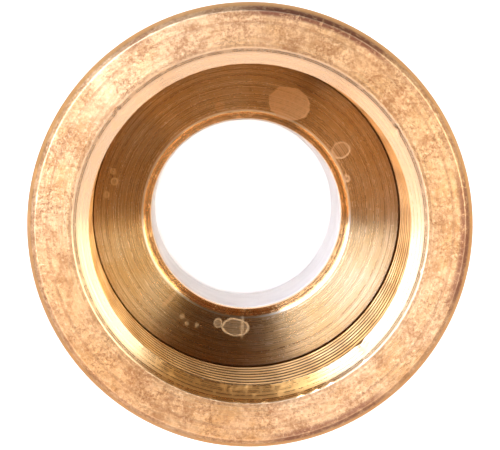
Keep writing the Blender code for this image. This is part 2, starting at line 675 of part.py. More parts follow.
def make_spring():
    """A compression spring whose end coils lie close: a wire swept along a helix, cut off square."""
    sides = RING_STEPS
    count = round(SPRING_TURNS * SPRING_STEPS_PER_TURN)
    points = []
    for step in range(count + 1):
        share = step / count
        angle = 2 * math.pi * SPRING_TURNS * share
        rise = SPRING_RISE * share - SPRING_CLOSING * math.sin(2 * math.pi * share)
        middle = SPRING_Z + SPRING_WIRE_RADIUS + rise
        for side in range(sides):
            turn = 2 * math.pi * (side + 0.5) / sides
            r = SPRING_MEAN_RADIUS + SPRING_WIRE_RADIUS * math.cos(turn)
            z = middle + SPRING_WIRE_RADIUS * math.sin(turn)
            points.append((r * math.cos(angle), r * math.sin(angle), z))
    faces = [tuple(reversed(range(sides))), tuple(sides * count + side for side in range(sides))]
    for step in range(count):
        for side in range(sides):
            near = sides * step + side
            beside = sides * step + (side + 1) % sides
            faces.append((near, beside, beside + sides, near + sides))
    material = make_material("spring_steel", STEEL)
    return add_mesh("spring", points, faces, material, SPRING_SMOOTH_DEGREES)


def make_spring_seats():
    """The washers above and below the spring, and the shim that sets its load."""
    inner = STEM_RADIUS + WASHER_WIDTH_GAP
    lower = CYLINDER_RADIUS - 2 * WASHER_WIDTH_GAP
    upper = SKIRT_BORE_RADIUS - WASHER_WIDTH_GAP
    low_steel = make_material("washer_steel_low", STEEL)
    top_steel = make_material("washer_steel_top", STEEL)
    shim_steel = make_material("shim_steel", STEEL)
    ring("spring_lower_washer", inner, lower, LOWER_WASHER_Z, WASHER_THICKNESS, low_steel)
    ring("spring_upper_washer", inner, upper, UPPER_WASHER_Z, WASHER_THICKNESS, top_steel)
    ring("preload_shim", inner, upper, SHIM_Z, SHIM_THICKNESS, shim_steel)


# ---------------------------------------------------------------- outlet body


def make_outlet_body():
    """Outlet thread, piston cylinder and the socket that the housing screws into."""
    ring_low, _, _, ring_wall = body_groove()
    socket = SKIRT_RADIUS + FIXED_GAP
    skirt_rest = SKIRT_Z - SEATED_GAP
    outline = [(OUTLET_BORE_RADIUS, 0.0), (MALE_ROOT_RADIUS - OUTLET_CHAMFER, 0.0)]
    outline += thread_rows(
        OUTLET_CHAMFER, OUTLET_THREAD_LENGTH, MALE_ROOT_RADIUS, MALE_CREST_RADIUS, MALE_ROOT_RADIUS
    )
    outline += [
        (MALE_ROOT_RADIUS, BARREL_Z),
        (BARREL_RADIUS - BARREL_CHAMFER, BARREL_Z),
        (BARREL_RADIUS, BARREL_Z + BARREL_CHAMFER),
    ]
    for band in range(BAND_GROOVES):
        low = BAND_Z + band * BAND_GROOVE_PITCH
        high = low + BAND_GROOVE_WIDTH
        outline += [
            (BARREL_RADIUS, low),
            (BARREL_RADIUS - BAND_GROOVE_DEPTH, low + BAND_GROOVE_DEPTH),
            (BARREL_RADIUS - BAND_GROOVE_DEPTH, high - BAND_GROOVE_DEPTH),
            (BARREL_RADIUS, high),
        ]
    outline += [
        (BARREL_RADIUS, BODY_TOP_Z - BARREL_CHAMFER),
        (BARREL_RADIUS - BARREL_CHAMFER, BODY_TOP_Z),
        (ring_wall, BODY_TOP_Z),
        (ring_wall, ring_low),
        (socket, ring_low - SOCKET_LEAD_IN),
        (socket, skirt_rest),
        (CYLINDER_RADIUS, skirt_rest - CYLINDER_LEAD_IN),
        (CYLINDER_RADIUS, FLOOR_Z),
        (OUTLET_BORE_RADIUS, FLOOR_Z),
    ]
    body = turned("outlet_body", outline, make_material("body_brass", BRASS))
    reach = 2 * BARREL_RADIUS
    for side in range(2):
        tool = box_tool(
            f"wrench_flat_{side}_tool",
            (FLAT_RADIUS, -reach, FLATS_Z),
            (reach, reach, FLATS_Z + FLATS_LENGTH),
            math.pi * side,
        )
        boolean(body, tool, "DIFFERENCE")
    hole = vent_tool("vent_hole_tool", VENT_RADIUS, CYLINDER_RADIUS - VENT_RADIUS)
    boolean(body, hole, "DIFFERENCE")
    seat = vent_tool("vent_seat_tool", VENT_SEAT_RADIUS, BARREL_RADIUS - VENT_SEAT_DEPTH)
    boolean(body, seat, "DIFFERENCE")
    return body


def disc_along_minus_y(name, radius, near, far, material, sides=VENT_SIDES):
    """A round bar between the distances near and far from the axis, on the vent's centre line."""
    points = []
    for distance in (near, far):
        for side in range(sides):
            turn = 2 * math.pi * side / sides
            points.append((radius * math.cos(turn), -distance, VENT_Z + radius * math.sin(turn)))
    faces = [tuple(range(sides)), tuple(reversed(range(sides, 2 * sides)))]
    for side in range(sides):
        after = (side + 1) % sides
        faces.append((side, after, after + sides, side + sides))
    return add_mesh(name, points, faces, material)


def vent_tool(name, radius, near):
    """A cutter from the distance near outwards, past the barrel's side."""
    tool = disc_along_minus_y(name, radius, near, 2 * BARREL_RADIUS, make_material(name, BRASS))
    return cutter(name, tool)


def make_vent_filter():
    near = BARREL_RADIUS - VENT_SEAT_DEPTH + SEATED_GAP
    far = near + VENT_FILTER_THICKNESS
    radius = VENT_SEAT_RADIUS - RUNNING_GAP
    return disc_along_minus_y("vent_filter", radius, near, far, make_material("sintered_bronze", BRONZE))


# ---------------------------------------------------------------- the assembly


def main():
    clear_scene()
    make_swivel_nut()
    make_tailpiece()
    make_tailpiece_o_ring()
    make_seat_insert()
    make_inlet_housing()
    make_body_o_ring()
    make_gland()
    make_piston()
    make_piston_o_ring()
    make_piston_nose()
    make_nose_seal()
    make_spring()
    make_spring_seats()
    make_outlet_body()
    make_vent_filter()


main()
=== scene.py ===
"""Looks of the in-line hose pressure regulator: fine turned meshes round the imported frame, brass, acetal,
rubber and steel materials, a pale floor, soft studio light, and a camera looking down into the inlet."""

import math

import bmesh
import bpy
import numpy as np
from mathutils import Matrix, Vector


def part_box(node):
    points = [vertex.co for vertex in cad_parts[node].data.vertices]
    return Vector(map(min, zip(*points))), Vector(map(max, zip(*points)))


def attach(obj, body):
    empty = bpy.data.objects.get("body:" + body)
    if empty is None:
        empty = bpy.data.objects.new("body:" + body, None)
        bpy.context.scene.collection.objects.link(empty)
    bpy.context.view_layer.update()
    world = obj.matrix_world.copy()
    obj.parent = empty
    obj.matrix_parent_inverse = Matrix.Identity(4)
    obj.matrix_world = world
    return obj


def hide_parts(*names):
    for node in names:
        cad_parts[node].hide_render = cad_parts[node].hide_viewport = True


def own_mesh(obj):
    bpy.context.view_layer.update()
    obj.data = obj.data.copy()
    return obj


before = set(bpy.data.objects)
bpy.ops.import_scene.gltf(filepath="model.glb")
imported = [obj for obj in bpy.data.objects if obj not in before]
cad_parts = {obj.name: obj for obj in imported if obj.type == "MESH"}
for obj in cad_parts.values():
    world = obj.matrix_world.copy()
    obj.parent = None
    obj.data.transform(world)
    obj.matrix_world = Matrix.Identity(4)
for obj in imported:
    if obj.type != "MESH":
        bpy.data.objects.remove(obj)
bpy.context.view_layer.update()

MM = 0.001

# ---------------------------------------------------------------- places, from the frame, in millimetres


def box(node):
    """Lowest and highest corner of a node."""
    return [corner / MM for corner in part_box(node)]


def low(node):
    return box(node)[0]


def high(node):
    return box(node)[1]


NUT_Z = low("swivel_nut").z
FACE_Z = high("swivel_nut").z
SEALING_Z = high("tailpiece").z
SHANK_Z = low("tailpiece").z
SEAT_Z = low("seat_insert").z
SEAT_TOP_Z = high("seat_insert").z
HOUSING_Z = low("inlet_housing").z
HOUSING_TOP_Z = high("inlet_housing").z
BODY_TOP_Z = high("outlet_body").z
PISTON_Z = low("piston").z
STEM_TOP_Z = high("piston").z
NOSE_Z = low("piston_nose").z
NOSE_FACE_Z = high("piston_nose").z

# ---------------------------------------------------------------- sizes of the outlines, in millimetres

PITCH = 1.814
FEMALE_CREST = 12.1
FEMALE_ROOT = 13.25
MALE_CREST = 13.2
MALE_ROOT = 12.15
THREAD_RUN_OUT = 0.5 * PITCH
THREAD_ROWS_PER_PITCH = 26

NUT_RADIUS = high("swivel_nut").x
NUT_FACE_INNER = 13.3
NUT_FACE_OUTER = 16.07
NUT_EDGE = 16.35
NUT_LEAD_IN = 1.1
NUT_COLLAR = 4.2
NUT_FLUTES = 15
NUT_FLUTE_CREST = 16.45
NUT_FLUTE_DEPTH = 0.75
NUT_BORE = 10.7
NUT_LEDGE = 1.8

FLANGE_RADIUS = high("tailpiece").x
FLANGE_EDGE = FLANGE_RADIUS + 0.09
FLANGE_THICKNESS = 2.5
NECK_RADIUS = 10.4
SHANK_BORE = 9.3
LIP_RADIUS = 8.1
MOUTH_RADIUS = 7.5
SEAT_HOLE = 8.65

HEX_ACROSS_FLATS = 28.0
HEX_CORNER = high("inlet_housing").x
FLATS_ACROSS = 29.0
BARREL_RADIUS = high("outlet_body").x

COLUMNS = 360
SMALL_COLUMNS = 128
SHARP_ANGLE = 32

# ---------------------------------------------------------------- mesh helpers


def rounded(corners, steps=4):
    """Points (r, z) of an outline whose corners (r, z, fillet) are rounded, except the first and last."""
    points = []
    for index, (r, z, fillet) in enumerate(corners):
        here = Vector((r, z))
        if fillet <= 0 or index in (0, len(corners) - 1):
            points.append((r, z))
            continue
        before = Vector(corners[index - 1][:2]) - here
        after = Vector(corners[index + 1][:2]) - here
        reach = min(fillet, 0.45 * before.length, 0.45 * after.length)
        start = here + before.normalized() * reach
        end = here + after.normalized() * reach
        for step in range(steps + 1):
            t = step / steps
            point = start * (1 - t) ** 2 + here * (2 * t * (1 - t)) + end * t**2
            points.append((point.x, point.y))
    return points


def add_object(name, data):
    obj = bpy.data.objects.new(name, data)
    bpy.context.scene.collection.objects.link(obj)
    return obj


def new_mesh(name, points, faces):
    """A mesh from points in millimetres, with its faces turned outwards."""
    mesh = bpy.data.meshes.new(name)
    mesh.from_pydata((np.array(points) * MM).tolist(), [], faces)
    work = bmesh.new()
    work.from_mesh(mesh)
    bmesh.ops.recalc_face_normals(work, faces=work.faces)
    work.to_mesh(mesh)
    work.free()
    return mesh


def add_piece(name, points, faces, material, body, nodes, sharp=SHARP_ANGLE):
    """One mesh piece that rides on a body and stands for CAD nodes."""
    mesh = new_mesh(name, points, faces)
    mesh.shade_smooth()
    mesh.set_sharp_from_angle(angle=math.radians(sharp))
    mesh.materials.append(material)
    obj = add_object(name, mesh)
    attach(obj, body)
    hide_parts(*nodes)
    return obj


def quads(rows, columns, closed):
    """Faces between rows of points, and from the last row back to the first if closed."""
    faces = []
    for row in range(rows if closed else rows - 1):
        near = row * columns
        far = (row + 1) % rows * columns
        for column in range(columns):
            after = (column + 1) % columns
            faces.append((near + column, near + after, far + after, far + column))
    return faces


def tube_faces(rows, columns):
    """Faces of a tube with both ends closed."""
    last = (rows - 1) * columns
    ends = [tuple(range(columns)), tuple(range(last, last + columns))]
    return quads(rows, columns, False) + ends


def circle(radius, sides):
    """Points about the origin of a plane."""
    turns = [2 * math.pi * side / sides for side in range(sides)]
    return [(radius * math.cos(turn), radius * math.sin(turn)) for turn in turns]


def radial_bar(profile, z, sides):
    """Points and faces of a bar along -Y at a height, from (distance from the axis, radius) pairs."""
    points = [(x, -distance, z + up) for distance, radius in profile for x, up in circle(radius, sides)]
    return points, tube_faces(len(profile), sides)


def ring_points(outline, columns):
    """Points of an outline turned about Z. A radius may be a function of the array of angles."""
    angles = np.arange(columns) * (2 * math.pi / columns)
    cosines, sines = np.cos(angles), np.sin(angles)
    rows = []
    for radius, z in outline:
        r = radius(angles) if callable(radius) else np.full(columns, radius)
        rows.append(np.stack([r * cosines, r * sines, np.full(columns, z)], axis=1))
    return np.concatenate(rows)


def turned(name, outline, material, body, nodes, columns=COLUMNS, edit=None):
    """A ring-shaped piece from a closed outline. edit changes its points before the mesh is made."""
    points = ring_points(outline, columns)
    if edit:
        edit(points)
    faces = quads(len(outline), columns, True)
    return add_piece(name, points, faces, material, body, nodes)


def solid_turned(name, outline, material, body, nodes, columns=COLUMNS):
    """A turned piece with no bore. Its ends are fans about a centre point."""
    points = ring_points(outline, columns).tolist()
    faces = quads(len(outline), columns, False)
    first, last = len(points), len(points) + 1
    points.append((0.0, 0.0, outline[0][1]))
    points.append((0.0, 0.0, outline[-1][1]))
    top = (len(outline) - 1) * columns
    for column in range(columns):
        after = (column + 1) % columns
        faces.append((first, after, column))
        faces.append((last, top + column, top + after))
    return add_piece(name, points, faces, material, body, nodes)


def thread_rows(z_start, z_end, root, crest, end_radius):
    """Outline rows, upwards, of a 55 degree thread. It starts at the root radius and ends at end_radius."""
    count = round((z_end - z_start) / PITCH * THREAD_ROWS_PER_PITCH)

    def row_radius(z):
        low_share = min(1.0, (z - z_start) / THREAD_RUN_OUT)
        high_share = min(1.0, (z_end - z) / THREAD_RUN_OUT)

        def radius_at(angles):
            phase = (z / PITCH - angles / (2 * math.pi)) % 1.0
            height = np.clip(1.25 - 1.5 * np.abs(2 * phase - 1), 0.0, 1.0)
            radius = root + (crest - root) * height * low_share
            return end_radius + (radius - end_radius) * high_share

        return radius_at

    levels = [z_start + (z_end - z_start) * row / count for row in range(count + 1)]
    return [(row_radius(z), z) for z in levels]


def cut_out(obj, tools):
    """Cuts the tools out of the piece's mesh for good, and removes them."""
    for tool in tools:
        modifier = obj.modifiers.new(tool.name, "BOOLEAN")
        modifier.operation = "DIFFERENCE"
        modifier.object = tool
        modifier.solver = "EXACT"
    graph = bpy.context.evaluated_depsgraph_get()
    mesh = bpy.data.meshes.new_from_object(obj.evaluated_get(graph))
    obj.modifiers.clear()
    obj.data = mesh
    for tool in tools:
        bpy.data.objects.remove(tool, do_unlink=True)
    mesh.shade_smooth()
    mesh.set_sharp_from_angle(angle=math.radians(SHARP_ANGLE))


def bar_tool(name, radius, near, far, z, chamfer=0.0):
    """A round cutter along -Y between two distances from the axis, widening outwards by a chamfer."""
    profile = ((near, radius), (far - chamfer, radius), (far, radius + chamfer))
    return add_object(name, new_mesh(name, *radial_bar(profile, z, 48)))


# ---------------------------------------------------------------- material helpers


class Graph:
    """Short calls for building one material's nodes."""

    def __init__(self, name):
        self.material = bpy.data.materials.new(name)
        self.material.use_nodes = True
        self.tree = self.material.node_tree
        self.shader = self.tree.nodes["Principled BSDF"]
        self.colour = None

    def node(self, kind, **settings):
        made = self.tree.nodes.new(kind)
        for key, value in settings.items():
            setattr(made, key, value)
        return made

    def put(self, socket, value):
        if isinstance(value, bpy.types.NodeSocket):
            self.tree.links.new(value, socket)
        else:
            socket.default_value = value

    def math(self, operation, first, second=0.0, clamp=False):
        made = self.node("ShaderNodeMath", operation=operation, use_clamp=clamp)
        for socket, value in zip(made.inputs, (first, second)):
            self.put(socket, value)
        return made.outputs[0]

    def times(self, first, second):
        return self.math("MULTIPLY", first, second)

    def plus(self, first, second, clamp=False):
        return self.math("ADD", first, second, clamp)

    def minus(self, first, second, clamp=False):
        return self.math("SUBTRACT", first, second, clamp)

    def band(self, value, start, end, from_low=0.0, to_high=1.0):
        """value mapped smoothly from start..end to from_low..to_high, and held beyond them."""
        made = self.node("ShaderNodeMapRange", interpolation_type="SMOOTHSTEP")
        for key, amount in zip(
            ("Value", "From Min", "From Max", "To Min", "To Max"),
            (value, start, end, from_low, to_high),
        ):
            self.put(made.inputs[key], amount)
        return made.outputs["Result"]

    def window(self, value, start, end, soft):
        """1 between start and end, 0 outside, with soft edges."""
        rise = self.band(value, start - soft, start + soft)
        fall = self.band(value, end - soft, end + soft, 1.0, 0.0)
        return self.times(rise, fall)

    def noise(self, vector, scale, detail=3.0, roughness=0.55, distortion=0.0):
        made = self.node("ShaderNodeTexNoise")
        self.put(made.inputs["Vector"], vector)
        made.inputs["Scale"].default_value = scale
        made.inputs["Detail"].default_value = detail
        made.inputs["Roughness"].default_value = roughness
        made.inputs["Distortion"].default_value = distortion
        return made.outputs["Fac"]

    def mix(self, amount, first, second):
        made = self.node("ShaderNodeMix", data_type="RGBA")
        self.put(made.inputs["Factor"], amount)
        colours = [s for s in made.inputs if s.type == "RGBA"]
        for socket, value in zip(colours, (first, second)):
            self.put(socket, value if isinstance(value, bpy.types.NodeSocket) else (*value, 1.0))
        return [s for s in made.outputs if s.type == "RGBA"][0]

    def paint(self, amount, colour):
        """Mixes an amount of a colour into the graph's own."""
        self.colour = self.mix(amount, self.colour, colour)

    def combine(self, x, y, z):
        made = self.node("ShaderNodeCombineXYZ")
        for socket, value in zip(made.inputs, (x, y, z)):
            self.put(socket, value)
        return made.outputs[0]

    def millimetres(self):
        """Object coordinates in millimetres, and the x, y, z, radius and bearing taken from them."""
        where = self.node("ShaderNodeTexCoord").outputs["Object"]
        scaled = self.node("ShaderNodeVectorMath", operation="SCALE")
        self.put(scaled.inputs[0], where)
        scaled.inputs["Scale"].default_value = 1 / MM
        vector = scaled.outputs[0]
        split = self.node("ShaderNodeSeparateXYZ")
        self.put(split.inputs[0], vector)
        x, y, z = split.outputs
        square = self.plus(self.times(x, x), self.times(y, y))
        radius = self.math("SQRT", square)
        bearing = self.times(self.math("ARCTAN2", y, x), 180 / math.pi)
        return vector, x, y, z, radius, bearing

    def bump(self, height, strength, distance, normal=None):
        made = self.node("ShaderNodeBump")
        made.inputs["Strength"].default_value = strength
        made.inputs["Distance"].default_value = distance
        self.put(made.inputs["Height"], height)
        if normal is not None:
            self.put(made.inputs["Normal"], normal)
        return made.outputs[0]

    def set(self, **values):
        """Sets or links the shader's inputs. An underscore in a name stands for a space."""
        for key, value in values.items():
            self.put(self.shader.inputs[key.replace("_", " ")], value)


# ---------------------------------------------------------------- brass

BRASS = (0.80, 0.50, 0.215)
BRASS_PALE = (0.88, 0.66, 0.40)
BRASS_DEEP = (0.62, 0.33, 0.10)
TARNISH = (0.20, 0.085, 0.040)
DULL_TAN = (0.35, 0.20, 0.095)
DULL_CREAM = (0.62, 0.43, 0.25)
WATER_MARK = (0.96, 0.60, 0.28)
BEVEL_ORANGE = (1.0, 0.60, 0.26)
BRASS_LINE = (0.34, 0.165, 0.055)
GLINT = (1.0, 0.86, 0.62)
LEAD_IN_PALE = (0.88, 0.68, 0.45)
STAIN = (0.20, 0.085, 0.055)
# Painted shade: near-black colour for the nut's thread grooves.
THREAD_ROOT_SHADE = (0.045, 0.018, 0.007)
# Painted reflection colour for one sector of the nut's lead-in.
LEAD_IN_REFLECTION_GOLD = (0.90, 0.50, 0.15)
CUT_BROWN = (0.36, 0.20, 0.10)
SPOT_BROWN = (0.25, 0.115, 0.055)
VEIN_BROWN = (0.24, 0.11, 0.055)
PALE_FLECK = (0.90, 0.70, 0.48)
LIP_GLINT = (1.0, 0.93, 0.80)


def lathe_rings(graph, parts, per_mm, waver):
    """Turning marks: noise that changes with radius and height only, with a little waver along the cut."""
    vector, _, _, z, radius, _ = parts
    shift = graph.times(graph.noise(vector, 0.35, 2.0), waver)
    across = graph.plus(radius, shift)
    along = graph.plus(z, shift)
    return graph.noise(graph.combine(across, along, 0.0), per_mm, 2.0, 0.7)


def base_brass(name, anisotropy, roughness, rings_per_mm, ring_bump, line_depth=0.45):
    """Turned brass: rings in the bump, colour and roughness, glints, and a slow change of tone."""
    graph = Graph(name)
    parts = graph.millimetres()
    vector = parts[0]
    fine = lathe_rings(graph, parts, rings_per_mm, 0.02)
    coarse = lathe_rings(graph, parts, rings_per_mm * 0.37, 0.04)
    tone = graph.noise(vector, 0.16, 4.0)
    graph.colour = graph.mix(graph.band(tone, 0.35, 0.70), BRASS, BRASS_PALE)
    broken = graph.band(graph.noise(vector, 1.1, 6.0, 0.75), 0.36, 0.60, 0.55, 1.0)
    lines = graph.times(graph.band(fine, 0.44, 0.62, 0.0, line_depth), broken)
    graph.paint(lines, BRASS_LINE)
    bright = graph.times(graph.band(fine, 0.46, 0.34, 0.0, line_depth), broken)
    graph.paint(bright, GLINT)
    graph.paint(graph.band(coarse, 0.50, 0.68, 0.0, 0.6 * line_depth), BRASS_DEEP)
    grime = graph.noise(vector, 1.1, 6.0, 0.68)
    graph.paint(graph.band(grime, 0.60, 0.76, 0.0, 0.35), TARNISH)
    glint = graph.band(graph.noise(vector, 7.0, 3.0, 0.6), 0.62, 0.70, 0.0, 0.7)
    graph.paint(glint, GLINT)
    turned_rough = graph.band(fine, 0.3, 0.7, roughness - 0.08, roughness + 0.08)
    rough = graph.plus(turned_rough, graph.band(grime, 0.50, 0.70, 0.0, 0.14))
    height = graph.plus(fine, graph.times(coarse, 1.6))
    normal = graph.bump(height, ring_bump, 0.00003)
    tangent = graph.node("ShaderNodeTangent", direction_type="RADIAL", axis="Z")
    graph.set(Base_Color=graph.colour, Metallic=1.0, Roughness=rough, Normal=normal,
              Anisotropic=anisotropy, Anisotropic_Rotation=0.25, Tangent=tangent.outputs[0])
    return graph, parts, rough, normal


# Stains on the outer edge of the front ring: first and last bearing in degrees, and strength.
STAIN_ARCS = ((50, 90, 0.95), (-22, 14, 0.80), (14, 48, 0.35), (-84, -52, 0.75), (118, 128, 0.35))


def nut_brass():
    """Brass of the swivel nut. Its front ring is dulled, mottled and stained, and the lead-in is clean. Its
    thread grooves carry painted shade, part of the lead-in a painted golden reflection, and the front
    ring's edges painted highlights.
    """
    graph, parts, rough, normal = base_brass("nut_brass", 0.60, 0.33, 8.0, 0.35, 0.30)
    vector, x, y, z, radius, bearing = parts
    lead_z = FACE_Z - NUT_LEAD_IN
    mouth = NUT_FACE_INNER - 0.02
    on_top = graph.band(z, FACE_Z - 0.75, FACE_Z - 0.35)
    on_face = graph.times(on_top, graph.band(radius, mouth, mouth + 0.06))
    in_mouth = graph.band(radius, mouth, mouth + 0.06, 1.0, 0.0)
    in_lead = graph.times(graph.band(z, lead_z - 0.05, lead_z + 0.05), in_mouth)
    graph.paint(graph.times(in_lead, 0.88), LEAD_IN_PALE)
    in_thread = graph.band(z, lead_z - 0.25, lead_z - 0.10, 1.0, 0.0)
    wall = graph.times(in_thread, graph.band(radius, NUT_FACE_INNER, NUT_FACE_INNER + 0.1, 1.0, 0.0))
    # Painted shade in the thread grooves: near black, turning brown near the flange.
    groove_shade = graph.times(graph.band(radius, FEMALE_CREST + 0.04, FEMALE_CREST + 0.11, 0.0, 0.92), wall)
    graph.paint(graph.times(wall, 0.6), BRASS_DEEP)
    foot = graph.band(z, SEALING_Z + 0.4, SEALING_Z + 1.4, 1.0, 0.0)
    graph.paint(groove_shade, graph.mix(foot, THREAD_ROOT_SHADE, BRASS_LINE))
    # Painted reflection: the lead-in between bearings -125 and -62 is painted golden, as if it mirrored a
    # dimmer part of the lights.
    reflection_sector = graph.times(in_lead, graph.window(bearing, -125, -62, 9.0))
    graph.paint(graph.times(reflection_sector, 0.90), LEAD_IN_REFLECTION_GOLD)
    cloud = graph.noise(vector, 0.55, 5.0, 0.6)
    dull = graph.times(on_face, graph.band(cloud, 0.35, 0.62, 0.45, 0.90))
    dusty = graph.mix(graph.band(graph.noise(vector, 0.8, 7.0, 0.7), 0.38, 0.60), DULL_TAN, DULL_CREAM)
    graph.paint(dull, dusty)
    cuts = lathe_rings(graph, parts, 2.6, 0.12)
    cut_mask = graph.times(graph.band(cuts, 0.54, 0.66, 0.0, 0.42), on_face)
    graph.paint(cut_mask, CUT_BROWN)
    speckle = graph.noise(vector, 3.8, 7.0, 0.78)
    where = graph.band(graph.noise(vector, 0.42, 4.0, 0.6), 0.36, 0.62, 0.25, 1.0)
    spots = graph.times(graph.band(speckle, 0.50, 0.59, 0.0, 0.68), on_face)
    graph.paint(graph.times(spots, where), SPOT_BROWN)
    for scale, strength in ((0.42, 0.50), (1.1, 0.40)):
        veins = graph.noise(vector, scale, 5.0, 0.6, 1.8)
        away = graph.math("ABSOLUTE", graph.minus(veins, 0.5))
        vein = graph.times(graph.band(away, 0.004, 0.014, strength, 0.0), on_face)
        graph.paint(graph.times(vein, where), VEIN_BROWN)
    pale = graph.times(graph.band(speckle, 0.46, 0.36, 0.0, 0.45), on_face)
    graph.paint(pale, PALE_FLECK)
    edge = graph.window(radius, NUT_FACE_OUTER - 0.35, NUT_EDGE + 0.07, 0.15)
    patch = graph.noise(vector, 1.9, 9.0, 0.82, 0.9)
    arcs = None
    for start, end, amount in STAIN_ARCS:
        arc = graph.times(graph.window(bearing, start, end, 5.0), amount)
        arcs = arc if arcs is None else graph.math("MAXIMUM", arcs, arc)
    stain = graph.times(graph.times(arcs, edge), graph.band(patch, 0.37, 0.50))
    stain = graph.times(stain, graph.band(z, FACE_Z - 1.3, FACE_Z - 0.9))
    graph.paint(stain, STAIN)
    side = graph.band(radius, NUT_EDGE + 0.01, NUT_EDGE + 0.11)
    graph.paint(graph.times(side, 0.65), BRASS_DEEP)
    # Painted highlights: thin pale lines along the inner and outer edges of the front ring, broken up with
    # noise.
    rim_highlights = ((NUT_FACE_INNER + 0.02, 0.05, 0.45), (NUT_FACE_OUTER - 0.01, 0.03, 0.30))
    for middle, half_width, strength in rim_highlights:
        ridge = graph.window(radius, middle - half_width, middle + half_width, 0.04)
        rim = graph.times(ridge, on_top)
        unevenness = graph.band(graph.noise(vector, 1.4, 4.0, 0.7), 0.30, 0.62, 0.15, strength)
        graph.paint(graph.times(rim, unevenness), GLINT)
    rough = graph.plus(rough, graph.times(dull, 0.16), clamp=True)
    rough = graph.plus(rough, graph.times(wall, 0.22), clamp=True)
    rough = graph.minus(rough, graph.times(in_lead, 0.03), clamp=True)
    scratches = graph.noise(graph.combine(graph.times(x, 0.35), y, z), 3.0, 9.0, 0.85, 0.8)
    height = graph.times(graph.plus(scratches, speckle), on_face)
    normal = graph.bump(height, 0.35, 0.00005, normal)
    graph.set(Base_Color=graph.colour, Roughness=rough, Normal=normal)
    return graph.material


# Dried water marks on the sealing face: bearing in degrees, distance from the axis in mm, half sizes
# across and along the radius in mm, how much of the inside is marked, and how strong the rim is.
WATER_MARKS = (
    (68.5, 9.35, 1.60, 1.25, 0.75, 1.00),
    (34.0, 9.00, 0.62, 0.72, 0.16, 1.00),
    (19.5, 8.42, 0.24, 0.20, 0.10, 0.95),
    (-95.5, 9.00, 1.02, 0.66, 0.22, 0.90),
    (-104.5, 8.90, 0.30, 0.34, 0.30, 0.70),
    (-92.0, 8.95, 0.12, 0.60, 0.50, 0.60),
    (-132.0, 9.10, 0.16, 0.62, 0.65, 0.40),
    (-122.0, 9.55, 0.17, 0.17, 0.50, 0.40),
    (-118.5, 9.85, 0.14, 0.14, 0.50, 0.40),
    (-114.0, 9.60, 0.12, 0.15, 0.50, 0.40),
    (166.0, 10.7, 0.26, 0.24, 0.25, 0.75),
    (172.0, 11.1, 0.22, 0.20, 0.35, 0.65),
    (162.0, 11.0, 0.20, 0.20, 0.30, 0.60),
    (104.0, 8.75, 0.30, 0.26, 0.40, 0.50),
)


def water_mark(graph, parts, mark, waver):
    """Mask of one dried mark: a part-filled spot with a brighter rim and an uneven outline."""
    _, x, y, _, _, _ = parts
    bearing, distance, across, along, fill, rim = mark
    cosine, sine = math.cos(math.radians(bearing)), math.sin(math.radians(bearing))
    dx = graph.minus(x, distance * cosine)
    dy = graph.minus(y, distance * sine)
    out = graph.plus(graph.times(dx, cosine), graph.times(dy, sine))
    side = graph.minus(graph.times(dy, cosine), graph.times(dx, sine))
    out = graph.math("DIVIDE", out, along)
    side = graph.math("DIVIDE", side, across)
    square = graph.plus(graph.times(out, out), graph.times(side, side))
    reach = graph.plus(graph.math("SQRT", square), waver)
    soft = 0.065 / min(across, along)
    inside = graph.times(graph.band(reach, 1.0 - soft, 1.0 + soft, 1.0, 0.0), fill)
    ridge = graph.times(graph.window(reach, 1.0 - 1.2 * soft, 1.0 + 0.6 * soft, soft), rim)
    return graph.math("MAXIMUM", inside, ridge)


def tailpiece_brass():
    """Brass of the tailpiece. Its sealing face is finely turned and carries dried water marks."""
    graph, parts, rough, _ = base_brass("tailpiece_brass", 1.0, 0.31, 10.0, 0.50, 0.80)
    vector, _, _, z, radius, _ = parts
    waver = graph.times(graph.minus(graph.noise(vector, 1.3, 3.0), 0.5), 0.35)
    marks = None
    for mark in WATER_MARKS:
        mask = water_mark(graph, parts, mark, waver)
        marks = mask if marks is None else graph.math("MAXIMUM", marks, mask)
    on_face = graph.band(z, SEALING_Z - 0.08, SEALING_Z - 0.03)
    marks = graph.times(marks, on_face)
    mottle = graph.band(graph.noise(vector, 4.5, 6.0, 0.8), 0.40, 0.56, 0.60, 1.0)
    marks = graph.times(marks, mottle)
    near_face = graph.band(z, SEALING_Z - 1.6, SEALING_Z - 1.5)
    bevel = graph.times(graph.band(radius, LIP_RADIUS - 0.08, LIP_RADIUS - 0.03, 0.94, 0.0), near_face)
    graph.paint(bevel, BEVEL_ORANGE)
    edge = graph.times(graph.window(radius, LIP_RADIUS + 0.02, LIP_RADIUS + 0.16, 0.03), 0.75)
    graph.paint(graph.times(edge, near_face), LIP_GLINT)
    graph.paint(marks, WATER_MARK)
    rough = graph.plus(rough, graph.times(marks, 0.35), clamp=True)
    rough = graph.minus(rough, graph.times(bevel, 0.15), clamp=True)
    metal = graph.minus(1.0, graph.times(marks, 0.90))
    graph.set(Base_Color=graph.colour, Roughness=rough, Metallic=metal)
    graph.shader.inputs["Specular IOR Level"].default_value = 0.3
    return graph.material


def body_brass(name):
    """Brass of the housing and body: turned, handled, and tarnished in patches."""
    graph, parts, _, normal = base_brass(name, 0.55, 0.30, 4.0, 0.30)
    vector, x, y, z, _, _ = parts
    cloud = graph.noise(vector, 0.22, 6.0, 0.62)
    graph.paint(graph.band(cloud, 0.50, 0.72, 0.0, 0.55), BRASS_DEEP)
    scratch = graph.noise(graph.combine(x, y, graph.times(z, 0.2)), 2.2, 9.0, 0.8, 1.2)
    normal = graph.bump(graph.band(scratch, 0.60, 0.72), 0.10, 0.00003, normal)
    graph.set(Base_Color=graph.colour, Normal=normal)
    return graph.material


# ---------------------------------------------------------------- plastics, rubber and steel


